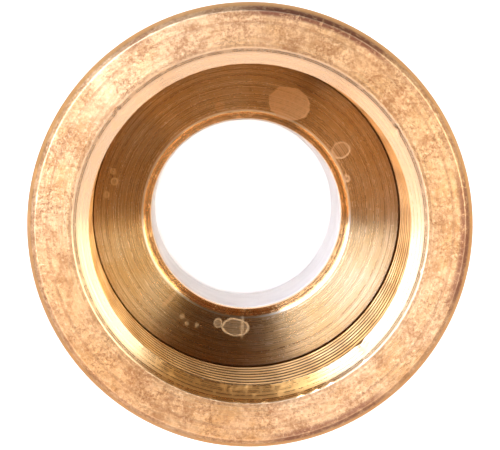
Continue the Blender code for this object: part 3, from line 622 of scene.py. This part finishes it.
def acetal(name, specks=0.0, painted_shade_factor=1.0):
    """White moulded acetal: faint mould flow, fine orange-peel, and a few dark specks where water ran. The
    last argument darkens the whole colour as painted shade.
    """
    graph = Graph(name)
    vector, *_ = graph.millimetres()
    flow = graph.noise(vector, 0.5, 3.0)
    pale = tuple(painted_shade_factor * value for value in (0.90, 0.87, 0.86))
    deep = tuple(painted_shade_factor * value for value in (0.86, 0.83, 0.82))
    graph.colour = graph.mix(graph.band(flow, 0.35, 0.65), pale, deep)
    if specks:
        dots = graph.node("ShaderNodeTexVoronoi")
        graph.put(dots.inputs["Vector"], vector)
        dots.inputs["Scale"].default_value = 1.3
        size = graph.band(graph.noise(vector, 0.9, 2.0), 0.45, 0.75, 0.0, 0.09)
        spot = graph.math("LESS_THAN", dots.outputs["Distance"], size)
        graph.paint(graph.times(spot, specks), (0.12, 0.10, 0.10))
    peel = graph.noise(vector, 6.0, 3.0)
    graph.set(Base_Color=graph.colour, Metallic=0.0, Roughness=graph.band(flow, 0.3, 0.7, 0.36, 0.48),
              Normal=graph.bump(peel, 0.15, 0.00003))
    graph.shader.inputs["Subsurface Weight"].default_value = 0.25
    graph.shader.inputs["Subsurface Radius"].default_value = (0.0015, 0.0013, 0.0012)
    return graph.material


def ptfe():
    graph = Graph("ptfe")
    vector, *_ = graph.millimetres()
    flow = graph.noise(vector, 1.2, 4.0)
    colour = graph.mix(graph.band(flow, 0.35, 0.65), (0.84, 0.85, 0.83), (0.76, 0.78, 0.76))
    graph.set(Base_Color=colour, Roughness=graph.band(flow, 0.3, 0.7, 0.45, 0.60),
              Normal=graph.bump(graph.noise(vector, 5.0, 4.0), 0.2, 0.00003))
    return graph.material


def rubber(name):
    """Black nitrile: matt, with dusty bloom and a fine moulded grain."""
    graph = Graph(name)
    vector, *_ = graph.millimetres()
    bloom = graph.noise(vector, 0.8, 6.0, 0.7)
    colour = graph.mix(graph.band(bloom, 0.45, 0.75), (0.022, 0.022, 0.024), (0.075, 0.073, 0.070))
    graph.set(Base_Color=colour, Roughness=graph.band(bloom, 0.3, 0.7, 0.48, 0.72),
              Normal=graph.bump(graph.noise(vector, 9.0, 4.0), 0.25, 0.00003))
    return graph.material


def steel(name, rings_per_mm=3.0):
    """Drawn or pressed spring steel, with a blue-brown heat tint in places."""
    graph = Graph(name)
    parts = graph.millimetres()
    grain = lathe_rings(graph, parts, rings_per_mm, 0.3)
    tint = graph.noise(parts[0], 0.3, 4.0)
    colour = graph.mix(graph.band(tint, 0.45, 0.75, 0.0, 0.7), (0.60, 0.60, 0.62), (0.42, 0.37, 0.33))
    graph.set(Base_Color=colour, Metallic=1.0, Roughness=graph.band(grain, 0.3, 0.7, 0.24, 0.40),
              Normal=graph.bump(grain, 0.2, 0.00003))
    return graph.material


def sintered_bronze():
    """Porous bronze: bright grains with dark pores between them."""
    graph = Graph("sintered_bronze")
    vector, *_ = graph.millimetres()
    cells = graph.node("ShaderNodeTexVoronoi")
    graph.put(cells.inputs["Vector"], vector)
    cells.inputs["Scale"].default_value = 5.0
    pore = graph.band(cells.outputs["Distance"], 0.35, 0.65)
    colour = graph.mix(pore, (0.52, 0.35, 0.17), (0.10, 0.06, 0.03))
    graph.set(Base_Color=colour, Metallic=1.0, Roughness=0.6,
              Normal=graph.bump(graph.minus(1.0, cells.outputs["Distance"]), 0.8, 0.00012))
    return graph.material


# ---------------------------------------------------------------- inlet pieces

# Dents in the nut's inner edges: bearing in degrees, half width in degrees, depth in mm, lowest and highest
# distance below the front face in mm.
NUT_NICKS = (
    (-47.0, 2.2, 0.16, 0.70, 1.30),
    (33.0, 1.6, 0.14, 0.15, 0.70),
    (139.0, 1.3, 0.10, -0.05, 0.50),
)
NUT_BURRS = (-15, -50, -63, -68, -94, -103, -85, -73)


def roughen_nut(points):
    """Nicks and burrs on the nut's inner edges, and a slightly ragged end to the lead-in."""
    radius = np.hypot(points[:, 0], points[:, 1])
    bearing = np.degrees(np.arctan2(points[:, 1], points[:, 0]))
    depth = FACE_Z - points[:, 2]
    scale = np.ones(len(points))
    for middle, half_width, size, start, end in NUT_NICKS:
        near = np.clip(1 - np.abs(bearing - middle) / half_width, 0, 1)
        level = (depth > start) & (depth < end) & (radius < 14.2)
        scale += near * level * size / radius
    edge = np.abs(depth - NUT_LEAD_IN) < 0.06
    edge &= radius < FEMALE_CREST + 0.3
    ragged = 0.5 + 0.5 * np.sin(bearing * 3.1 + 2 * np.sin(bearing * 1.7)) * np.sin(bearing * 7.3)
    unevenness = np.clip(1 - np.abs(bearing + 95) / 42, 0, 1)
    scale -= edge * ragged * (0.02 + 0.09 * unevenness) / radius
    for middle in NUT_BURRS:
        near = np.clip(1 - np.abs(bearing - middle) / 1.2, 0, 1)
        lip = (np.abs(radius - NUT_FACE_INNER) < 0.08) & (depth < 0.12)
        scale -= near * lip * 0.10 / radius
    points[:, 0] *= scale
    points[:, 1] *= scale


def make_swivel_nut():
    collar_z = FACE_Z - NUT_COLLAR
    chamfer = 0.6

    def fluted(shrink):
        def radius_at(angles):
            wave = 0.5 - 0.5 * np.cos(angles * NUT_FLUTES)
            return NUT_FLUTE_CREST - shrink - (NUT_FLUTE_DEPTH - 0.3 * shrink) * wave**1.5

        return radius_at

    def between(share):
        """From the flutes' radius to the collar's."""
        flutes = fluted(0.0)
        return lambda angles: flutes(angles) * (1 - share) + NUT_RADIUS * share

    outline = rounded([(NUT_BORE, NUT_Z + 0.3, 0), (NUT_BORE + 0.3, NUT_Z, 0.1),
                       (NUT_FLUTE_CREST - NUT_FLUTE_DEPTH - chamfer, NUT_Z, 0)])
    for step in range(1, 7):
        turn = math.pi / 2 * step / 6
        outline.append((fluted(chamfer * (1 - math.sin(turn))), NUT_Z + chamfer * (1 - math.cos(turn))))
    for step in range(1, 14):
        outline.append((fluted(0.0), NUT_Z + chamfer + (collar_z - 2 * chamfer - NUT_Z) * step / 14))
    for step in range(0, 9):
        share = step / 8
        eased = share * share * (3 - 2 * share)
        outline.append((between(eased), collar_z - chamfer * (1 - share)))
    outline += rounded([
        (NUT_RADIUS, collar_z + 0.15, 0),
        (NUT_RADIUS, FACE_Z - 0.9, 0.2),
        (NUT_EDGE, FACE_Z - 0.3, 0.12),
        (NUT_FACE_OUTER, FACE_Z, 0.10),
        (15.2, FACE_Z - 0.012, 0),
        (14.35, FACE_Z - 0.005, 0),
        (NUT_FACE_INNER, FACE_Z, 0.07),
        (12.97, FACE_Z - 0.40, 0.12),
        (12.5, FACE_Z - 0.76, 0),
        (FEMALE_CREST + 0.04, FACE_Z - NUT_LEAD_IN + 0.03, 0),
    ])
    ledge = NUT_Z + NUT_LEDGE
    thread_start = ledge + 0.8
    rows = thread_rows(thread_start, FACE_Z - NUT_LEAD_IN, FEMALE_ROOT, FEMALE_CREST, FEMALE_CREST)
    outline += list(reversed(rows))
    outline += rounded([
        (FEMALE_ROOT, thread_start - 0.2, 0),
        (FEMALE_ROOT, ledge, 0.3),
        (NUT_BORE, ledge, 0.15),
        (NUT_BORE, NUT_Z + 0.5, 0),
    ])
    return turned("swivel_nut_turned", outline, nut_brass(), "nut", ["swivel_nut"],
                  edit=roughen_nut)


def make_tailpiece():
    flange_z = SEALING_Z - FLANGE_THICKNESS
    groove_low, groove_high = low("tailpiece_o_ring").z - 0.2, high("tailpiece_o_ring").z + 0.2
    groove_floor = 9.55
    insert_top = SEAT_TOP_Z + 0.2
    outline = rounded([
        (SHANK_BORE, SHANK_Z, 0),
        (NECK_RADIUS, SHANK_Z, 0.25),
        (NECK_RADIUS, groove_low, 0.08),
        (groove_floor, groove_low, 0.15),
        (groove_floor, groove_high, 0.15),
        (NECK_RADIUS, groove_high, 0.08),
        (NECK_RADIUS, flange_z, 0.3),
        (FLANGE_RADIUS, flange_z, 0.2),
        (FLANGE_EDGE, SEALING_Z - 0.5, 0),
        (FLANGE_EDGE, SEALING_Z, 0.05),
        (10.6, SEALING_Z - 0.010, 0),
        (9.4, SEALING_Z - 0.006, 0),
        (LIP_RADIUS, SEALING_Z, 0.16),
        (MOUTH_RADIUS + 0.03, SEALING_Z - 0.5, 0.05),
        (MOUTH_RADIUS, insert_top, 0.04),
        (SEAT_HOLE, insert_top, 0.1),
        (SEAT_HOLE, SEAT_Z, 0.05),
        (SHANK_BORE, SEAT_Z - 0.65, 0.1),
        (SHANK_BORE, SHANK_Z + 0.2, 0),
    ], steps=5)
    return turned("tailpiece_turned", outline, tailpiece_brass(), "root", ["tailpiece"])


def make_seat_insert():
    lip, seat_bore, entry_bore = 0.35, 7.22, 7.4
    outer = high("seat_insert").x
    outline = rounded([
        (seat_bore + 0.03, SEAT_Z + 1.2, 0),
        (seat_bore, SEAT_Z + lip, 0.2),
        (seat_bore + lip, SEAT_Z, 0.2),
        (outer - lip, SEAT_Z, 0.2),
        (outer, SEAT_Z + lip, 0.2),
        (outer, SEAT_TOP_Z, 0.1),
        (entry_bore, SEAT_TOP_Z, 0.1),
        (entry_bore - 0.02, SEAT_TOP_Z - 1.0, 0),
    ])
    # The seat is the same white acetal darkened to 0.82: painted shade for its wall, seen in shadow behind
    # the lip.
    return turned("seat_insert_moulded", outline, acetal("seat_acetal", 0.8, 0.82), "root", ["seat_insert"])


def make_piston_nose():
    groove_inner, groove_outer = 7.45, 8.15
    groove_floor = NOSE_FACE_Z - 0.85
    spigot, disc_z = 4.9, STEM_TOP_Z + 0.2
    rim = high("piston_nose").x
    outline = rounded([
        (spigot - 0.3, NOSE_Z, 0),
        (spigot, NOSE_Z + 0.3, 0.1),
        (spigot, disc_z, 0.15),
        (rim, disc_z, 0.5),
        (rim, NOSE_FACE_Z, 0.12),
        (groove_outer, NOSE_FACE_Z, 0.06),
        (groove_outer, groove_floor, 0.1),
        (groove_inner, groove_floor, 0.1),
        (groove_inner, NOSE_FACE_Z, 0.06),
        (7.0, NOSE_FACE_Z, 0),
        (4.0, NOSE_FACE_Z, 0),
    ])
    return solid_turned("piston_nose_moulded", outline, acetal("nose_acetal"), "piston_group",
                        ["piston_nose"])


# ---------------------------------------------------------------- housing and body


def polygon_radius(angles, across_flats, sides, first=0.0):
    """Distance to the sides of a regular polygon whose first flat faces the bearing first."""
    sector = 2 * math.pi / sides
    off = (angles - first + sector / 2) % sector - sector / 2
    return across_flats / 2 / np.cos(off)


def make_inlet_housing():
    shoulder = BODY_TOP_Z + 0.2
    hex_top = shoulder + 13.0
    first = math.radians(30)
    slope, hex_chamfer, foot = 0.55, 1.1, 0.8

    def hex_row(z):
        cone = HEX_CORNER - np.maximum(0, (z - (hex_top - hex_chamfer)) / slope)
        cone -= np.maximum(0, (shoulder + foot - z) / (2 * slope))

        def radius_at(angles):
            flat = polygon_radius(angles, HEX_ACROSS_FLATS, 6, first)
            soft = 0.12
            lower = np.minimum(flat, cone)
            gap = np.abs(flat - cone)
            return lower - np.clip(soft - gap, 0, soft) ** 2 / (4 * soft)

        return radius_at

    groove_low, groove_high = low("body_o_ring").z - 0.2, high("body_o_ring").z + 0.2
    skirt, floor, spring_room = 13.3, 12.2, 11.6
    outline = rounded([
        (spring_room, HOUSING_Z, 0),
        (skirt - 0.8, HOUSING_Z, 0.1),
        (skirt, HOUSING_Z + 0.8, 0.1),
        (skirt, groove_low, 0.08),
        (floor, groove_low, 0.15),
        (floor, groove_high, 0.15),
        (skirt, groove_high, 0.08),
        (skirt, shoulder, 0.1),
        (13.4, shoulder, 0),
    ])
    start = shoulder + 0.02
    levels = [start + foot * k / 8 for k in range(9)]
    levels += [start + foot + 11.0 * k / 10 for k in range(1, 11)]
    levels += [hex_top - hex_chamfer * (1 - k / 14) for k in range(15)]
    outline += [(hex_row(z), z) for z in levels]
    neck, chamber, clip = 13.9, 10.2, 10.9
    ring_room, shank_hole, gland, stem_hole = 10.85, 10.5, 8.45, 6.6
    circlip_low, circlip_high = low("gland_circlip").z - 0.1, high("gland_circlip").z + 0.1
    gland_top = low("gland_washer").z - 0.2
    gland_floor = low("stem_backup_ring").z - 0.2
    partition = high("preload_shim").z + 0.2
    shank_end = SHANK_Z - 0.2
    ring_low = low("tailpiece_o_ring").z - 0.2
    outline += rounded([
        (neck - 0.12, hex_top + 0.12, 0),
        (neck, hex_top + 0.3, 0.1),
        (neck, HOUSING_TOP_Z - 0.8, 0.15),
        (neck - 0.8, HOUSING_TOP_Z, 0.15),
        (ring_room, HOUSING_TOP_Z, 0.1),
        (ring_room, ring_low, 0.05),
        (shank_hole, ring_low - 0.4, 0.05),
        (shank_hole, shank_end, 0.1),
        (chamber, shank_end, 0.05),
        (chamber, circlip_high, 0.05),
        (clip, circlip_high, 0.1),
        (clip, circlip_low, 0.1),
        (chamber, circlip_low, 0.05),
        (chamber, gland_top, 0.1),
        (gland, gland_top, 0.1),
        (gland, gland_floor, 0.1),
        (stem_hole, gland_floor, 0.1),
        (stem_hole, partition, 0.2),
        (spring_room, partition, 0.2),
        (spring_room, HOUSING_Z + 0.2, 0),
    ])
    return turned("inlet_housing_turned", outline, body_brass("housing_brass"), "root", ["inlet_housing"])


def make_outlet_body():
    thread_end = 11.8
    barrel_z = thread_end + 1.4
    flats_low, flats_high = barrel_z + 2.4, barrel_z + 10.4
    outlet_bore, cylinder, skirt_hole, ring_room = 8.5, 12.5, 13.4, 13.8
    band_spacing, band_depth = 2.8, 0.35
    ramp = 0.45
    start_chamfer = 1.0

    def flat_row(share):
        def radius_at(angles):
            flat = polygon_radius(angles, FLATS_ACROSS, 2)
            cut = np.minimum(np.where(flat > 0, flat, BARREL_RADIUS), BARREL_RADIUS)
            return BARREL_RADIUS + (cut - BARREL_RADIUS) * share

        return radius_at

    outline = rounded([
        (outlet_bore, 0.4, 0),
        (8.9, 0.0, 0.1),
        (MALE_ROOT - start_chamfer, 0.0, 0.1),
        (MALE_ROOT - 0.1, start_chamfer - 0.1, 0),
    ])
    outline += thread_rows(start_chamfer, thread_end, MALE_ROOT, MALE_CREST, MALE_ROOT)
    outline += rounded([
        (MALE_ROOT, thread_end + 0.1, 0),
        (MALE_ROOT, barrel_z, 0.3),
        (BARREL_RADIUS - 0.8, barrel_z, 0.15),
        (BARREL_RADIUS, barrel_z + 0.8, 0.15),
        (BARREL_RADIUS, flats_low - 0.1, 0),
    ])
    steps = 6
    outline += [(flat_row(math.sin(math.pi / 2 * k / steps)), flats_low + ramp * k / steps)
                for k in range(steps + 1)]
    outline += [(flat_row(1.0), flats_low + ramp + (flats_high - flats_low - 2 * ramp) * k / 8)
                for k in range(1, 8)]
    outline += [(flat_row(math.cos(math.pi / 2 * k / steps)), flats_high - ramp + ramp * k / steps)
                for k in range(steps + 1)]
    band_z = flats_high + 12.0
    corners = [(BARREL_RADIUS, flats_high + 0.1, 0)]
    for band in range(2):
        start = band_z + band * band_spacing
        corners += [
            (BARREL_RADIUS, start, 0.15),
            (BARREL_RADIUS - band_depth, start + band_depth, 0.2),
            (BARREL_RADIUS - band_depth, start + 0.85, 0.2),
            (BARREL_RADIUS, start + 1.2, 0.15),
        ]
    ring_low = low("body_o_ring").z - 0.2
    corners += [
        (BARREL_RADIUS, BODY_TOP_Z - 0.8, 0.2),
        (BARREL_RADIUS - 0.8, BODY_TOP_Z, 0.2),
        (ring_room, BODY_TOP_Z, 0.1),
        (ring_room, ring_low, 0.05),
        (skirt_hole, ring_low - 0.3, 0.05),
        (skirt_hole, HOUSING_Z - 0.2, 0.1),
        (cylinder, HOUSING_Z - 0.8, 0.1),
        (cylinder, PISTON_Z - 0.2, 0.2),
        (outlet_bore, PISTON_Z - 0.2, 0.15),
        (outlet_bore, 0.6, 0),
    ]
    outline += rounded(corners)
    body = turned("outlet_body_turned", outline, body_brass("body_brass"), "root", ["outlet_body"])
    filter_low, filter_high = box("vent_filter")
    vent_z = (filter_low.z + filter_high.z) / 2
    recess = BARREL_RADIUS - 1.3
    cut_out(body, [
        bar_tool("vent_hole_tool", 0.9, 11.5, 20, vent_z),
        bar_tool("vent_seat_tool", 1.9, recess, BARREL_RADIUS + 0.3, vent_z, 0.42),
    ])
    return body


def make_vent_filter():
    filter_low, filter_high = box("vent_filter")
    z = (filter_low.z + filter_high.z) / 2
    radius = (filter_high.z - filter_low.z) / 2
    near, far = -filter_high.y, -filter_low.y
    profile = [(near, radius * 0.94), (near + 0.1, radius), (far - 0.2, radius),
               (far - 0.06, radius * 0.92), (far, radius * 0.6)]
    points, faces = radial_bar(profile, z, 64)
    return add_piece("vent_filter_sintered", points, faces, sintered_bronze(), "root", ["vent_filter"])


# ---------------------------------------------------------------- pieces inside


def o_ring(node, body):
    """An O-ring with a round section, inside the hexagonal section of its CAD node."""
    bottom, top = box(node)
    section = (top.z - bottom.z) / 2 * math.cos(math.pi / 6)
    middle = (top.z + bottom.z) / 2
    outline = [(top.x - section + r, middle + z) for r, z in circle(section, 24)]
    return turned(node + "_moulded", outline, rubber(node + "_rubber"), body, [node],
                  SMALL_COLUMNS)


def flat_ring(node, inner, body, material, edge=0.1):
    """A washer or ring with rolled edges, the size of its CAD node."""
    bottom, top = box(node)
    outer = top.x
    corners = [
        (inner, (bottom.z + top.z) / 2, 0),
        (inner, bottom.z, edge),
        (outer, bottom.z, edge),
        (outer, top.z, edge),
        (inner, top.z, edge),
        (inner, (bottom.z + top.z) / 2 + 0.02, 0),
    ]
    return turned(node + "_finished", rounded(corners, 3), material, body, [node], SMALL_COLUMNS)


def make_circlip():
    """An open ring of spring wire, ground square at its ends."""
    bottom, top = box("gland_circlip")
    outer, inner = -bottom.x, 8.2
    half_gap = math.radians(25)
    steps = 120
    edge = 0.1
    section = [
        (inner + edge, bottom.z), (outer - edge, bottom.z), (outer, bottom.z + edge),
        (outer, top.z - edge), (outer - edge, top.z), (inner + edge, top.z),
        (inner, top.z - edge), (inner, bottom.z + edge),
    ]
    points = []
    for step in range(steps + 1):
        angle = half_gap + (2 * math.pi - 2 * half_gap) * step / steps
        points += [(r * math.cos(angle), r * math.sin(angle), z) for r, z in section]
    faces = tube_faces(steps + 1, len(section))
    return add_piece("gland_circlip_spring", points, faces, steel("circlip_steel"), "root",
                     ["gland_circlip"])


def make_spring():
    """The compression spring, a round wire with closed ends, riding on the root body."""
    floor_z, ceiling_z = low("spring").z, high("spring").z
    wire, mean, turns, sides, steps_per_turn = 0.95, 9.3, 5.0, 16, 64
    count = round(turns * steps_per_turn)
    length = ceiling_z - floor_z
    rise = length - 2 * wire
    points = []
    for step in range(count + 1):
        share = step / count
        angle = 2 * math.pi * turns * share
        z = floor_z + wire + rise * share - 0.42 * math.sin(2 * math.pi * share)
        points += [((mean + out) * math.cos(angle), (mean + out) * math.sin(angle), z + up)
                   for out, up in circle(0.98 * wire, sides)]
    faces = tube_faces(count + 1, sides)
    spring = add_piece("spring_wire", points, faces, steel("spring_steel_wire", 6.0), "root", ["spring"],
                       60)
    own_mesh(spring)
    return spring


def make_piston():
    """Head and hollow stem, with the ports cut through under the nose."""
    head = 12.35
    head_top = low("spring_lower_washer").z - 0.2
    ring_low, ring_high = low("piston_o_ring").z - 0.2, high("piston_o_ring").z + 0.2
    stem, bore, ring_floor = 6.45, 5.0, 10.5
    outline = rounded([
        (bore, PISTON_Z + 1.2, 0),
        (bore, PISTON_Z + 0.5, 0.1),
        (bore + 0.5, PISTON_Z, 0.15),
        (head - 0.5, PISTON_Z, 0.2),
        (head, PISTON_Z + 0.5, 0.2),
        (head, ring_low, 0.08),
        (ring_floor, ring_low, 0.15),
        (ring_floor, ring_high, 0.15),
        (head, ring_high, 0.08),
        (head, head_top - 0.5, 0.2),
        (head - 0.5, head_top, 0.2),
        (stem, head_top, 0.12),
        (stem, STEM_TOP_Z, 0.15),
        (bore, STEM_TOP_Z, 0.1),
        (bore, PISTON_Z + 1.4, 0),
    ])
    piston = turned("piston_moulded", outline, acetal("piston_acetal"), "piston_group", ["piston"],
                    SMALL_COLUMNS)
    port_low = high("gland_circlip").z + 0.6
    cut_out(piston, [port_tool(port, bore / 2, 2 * stem, 4.4, port_low, 3.6) for port in range(4)])
    return piston


def port_tool(port, near, far, width, bottom, height, corner=0.7):
    """A bar with rounded corners, pointing out from the axis, that cuts one port."""
    section = []
    for sign_x, sign_z, start in ((1, -1, -90), (1, 1, 0), (-1, 1, 90), (-1, -1, 180)):
        for step in range(7):
            turn = math.radians(start + 90 * step / 6)
            section.append((sign_x * (width / 2 - corner) + corner * math.cos(turn),
                            bottom + height / 2 + sign_z * (height / 2 - corner) + corner * math.sin(turn)))
    points = [(distance, side, z) for distance in (near, far) for side, z in section]
    name = f"port_tool_{port}"
    tool = add_object(name, new_mesh(name, points, tube_faces(2, len(section))))
    tool.rotation_euler.z = math.pi / 2 * port
    return tool


def make_inside():
    make_piston()
    make_spring()
    make_circlip()
    for node, body in (("tailpiece_o_ring", "root"), ("body_o_ring", "root"), ("stem_o_ring", "root"),
                       ("piston_o_ring", "piston_group")):
        o_ring(node, body)
    flat_ring("nose_seal", 7.5, "piston_group", rubber("nose_seal_rubber"), 0.12)
    flat_ring("stem_backup_ring", 6.6, "root", ptfe())
    flat_ring("gland_washer", 6.85, "root", body_brass("gland_brass"))
    for node, body in (("spring_lower_washer", "piston_group"), ("spring_upper_washer", "root"),
                       ("preload_shim", "root")):
        flat_ring(node, 6.85, body, steel(node + "_steel"), 0.12)


# ---------------------------------------------------------------- camera, light and floor, in metres

MOUTH = Vector((0.0, 0.0, FACE_Z)) * MM
CAMERA_AWAY = Vector((-0.0236, 0.0651, 0.9976))
CAMERA_DISTANCE = 0.2522
CAMERA_LENS = 243.5
CAMERA_SHIFT = (-0.0011, 0.00218)


def make_camera():
    """Looks down into the mouth. The shift is a share of the picture's width."""
    camera = add_object("camera", bpy.data.cameras.new("camera"))
    away = CAMERA_AWAY.normalized()
    right = Vector((0, 1, 0)).cross(away).normalized()
    up = away.cross(right)
    camera.location = MOUTH + away * CAMERA_DISTANCE
    camera.rotation_euler = Matrix((right, up, away)).transposed().to_euler()
    camera.data.lens = CAMERA_LENS
    camera.data.shift_x, camera.data.shift_y = CAMERA_SHIFT
    camera.data.clip_start = 0.01
    camera.data.clip_end = 20
    bpy.context.scene.camera = camera


def toward(bearing):
    """Level unit vector at a bearing in degrees, anticlockwise from +X."""
    turn = math.radians(bearing)
    return Vector((math.cos(turn), math.sin(turn), 0))


def area_light(name, shape, size, energy, location):
    """A soft light that the camera doesn't see."""
    data = bpy.data.lights.new(name, "AREA")
    data.shape = shape
    data.size = size
    data.energy = energy
    light = add_object(name, data)
    light.location = location
    light.visible_camera = False
    return light


def make_panel(name, bearing, half_width, low_z, high_z, radiance, colour, distance=0.5):
    """An upright soft light: a flat panel whose edges stand at bearing +- half_width from the axis."""
    width = 2 * distance * math.tan(math.radians(half_width))
    height = high_z - low_z
    outward = toward(bearing)
    middle = outward * distance + Vector((0, 0, (low_z + high_z) / 2))
    light = area_light(name, "RECTANGLE", width, radiance * width * height * math.pi, middle)
    light.data.size_y = height
    light.data.color = colour
    light.rotation_euler = outward.to_track_quat("Z", "Y").to_euler()


def make_lights():
    make_panel("key", 144.5, 34.5, 0.38, 1.45, 9.8, (0.88, 0.96, 1.16))
    make_panel("key_low", 156, 28, 0.10, 0.38, 1.0, (1.0, 0.95, 0.90))
    make_panel("second", 22, 23, 0.30, 1.05, 6.2, (1.0, 0.90, 0.72))
    make_panel("second_low", 22, 25, 0.10, 0.27, 1.15, (1.0, 0.95, 0.86))
    for name, bearing in (("low_card_left", 210), ("low_card_front", 270), ("low_card_right", 330)):
        make_panel(name, bearing, 29, 0.05, 0.30, 1.20, (0.95, 0.93, 1.05))
    fills = (("fill_left", 214, 3.6), ("fill_front", 281, 2.5), ("fill_right", 335, 1.8))
    for name, bearing, radiance in fills:
        make_panel(name, bearing, 30, 0.36, 0.95, radiance, (1.0, 0.62, 0.38))


def make_linked_light(name, pieces, size, height, energy):
    """A soft round light over the mouth that falls on the given pieces only."""
    light = area_light(name, "DISK", size, energy, MOUTH + Vector((0, 0, height)))
    receivers = bpy.data.collections.new(name + "_receivers")
    for piece in pieces:
        receivers.objects.link(piece)
    light.light_linking.receiver_collection = receivers


def make_world():
    """Pale to the camera, dim and warm in reflections, so that the brass keeps its dark bands."""
    world = bpy.data.worlds.new("studio")
    bpy.context.scene.world = world
    world.use_nodes = True
    tree = world.node_tree
    background = tree.nodes["Background"]
    path = tree.nodes.new("ShaderNodeLightPath")
    mix = tree.nodes.new("ShaderNodeMix")
    mix.data_type = "RGBA"
    tree.links.new(path.outputs["Is Camera Ray"], mix.inputs["Factor"])
    colours = [s for s in mix.inputs if s.type == "RGBA"]
    colours[0].default_value = (0.105, 0.060, 0.034, 1.0)
    colours[1].default_value = (0.97, 0.97, 0.96, 1.0)
    tree.links.new([s for s in mix.outputs if s.type == "RGBA"][0], background.inputs["Color"])


FLOOR_GAP = 0.0001


def make_floor():
    """A pale floor just under the part, which the camera sees as white."""
    mesh = bpy.data.meshes.new("floor")
    work = bmesh.new()
    bmesh.ops.create_grid(work, x_segments=1, y_segments=1, size=4.0)
    work.to_mesh(mesh)
    work.free()
    floor = add_object("floor", mesh)
    floor.location.z = -FLOOR_GAP
    graph = Graph("pale_floor")
    vector, *_ = graph.millimetres()
    tone = graph.noise(vector, 0.01, 3.0)
    seen = graph.node("ShaderNodeLightPath").outputs["Is Camera Ray"]
    graph.set(Base_Color=graph.mix(tone, (0.42, 0.40, 0.38), (0.48, 0.46, 0.44)), Roughness=0.8,
              Emission_Color=(1.0, 1.0, 1.0, 1.0), Emission_Strength=seen)
    mesh.materials.append(graph.material)


# ---------------------------------------------------------------- the scene

make_camera()
nut = make_swivel_nut()
make_tailpiece()
seat = make_seat_insert()
nose = make_piston_nose()
make_inlet_housing()
make_outlet_body()
make_vent_filter()
make_inside()
make_lights()
make_linked_light("nose_light", [nose], 0.20, 0.45, 3.1)
make_linked_light("seat_light", [seat], 0.20, 0.45, 0.62)
make_linked_light("face_light", [nut], 0.60, 0.60, 0.30)
make_world()
make_floor()
bpy.context.scene.view_settings.view_transform = "Standard"
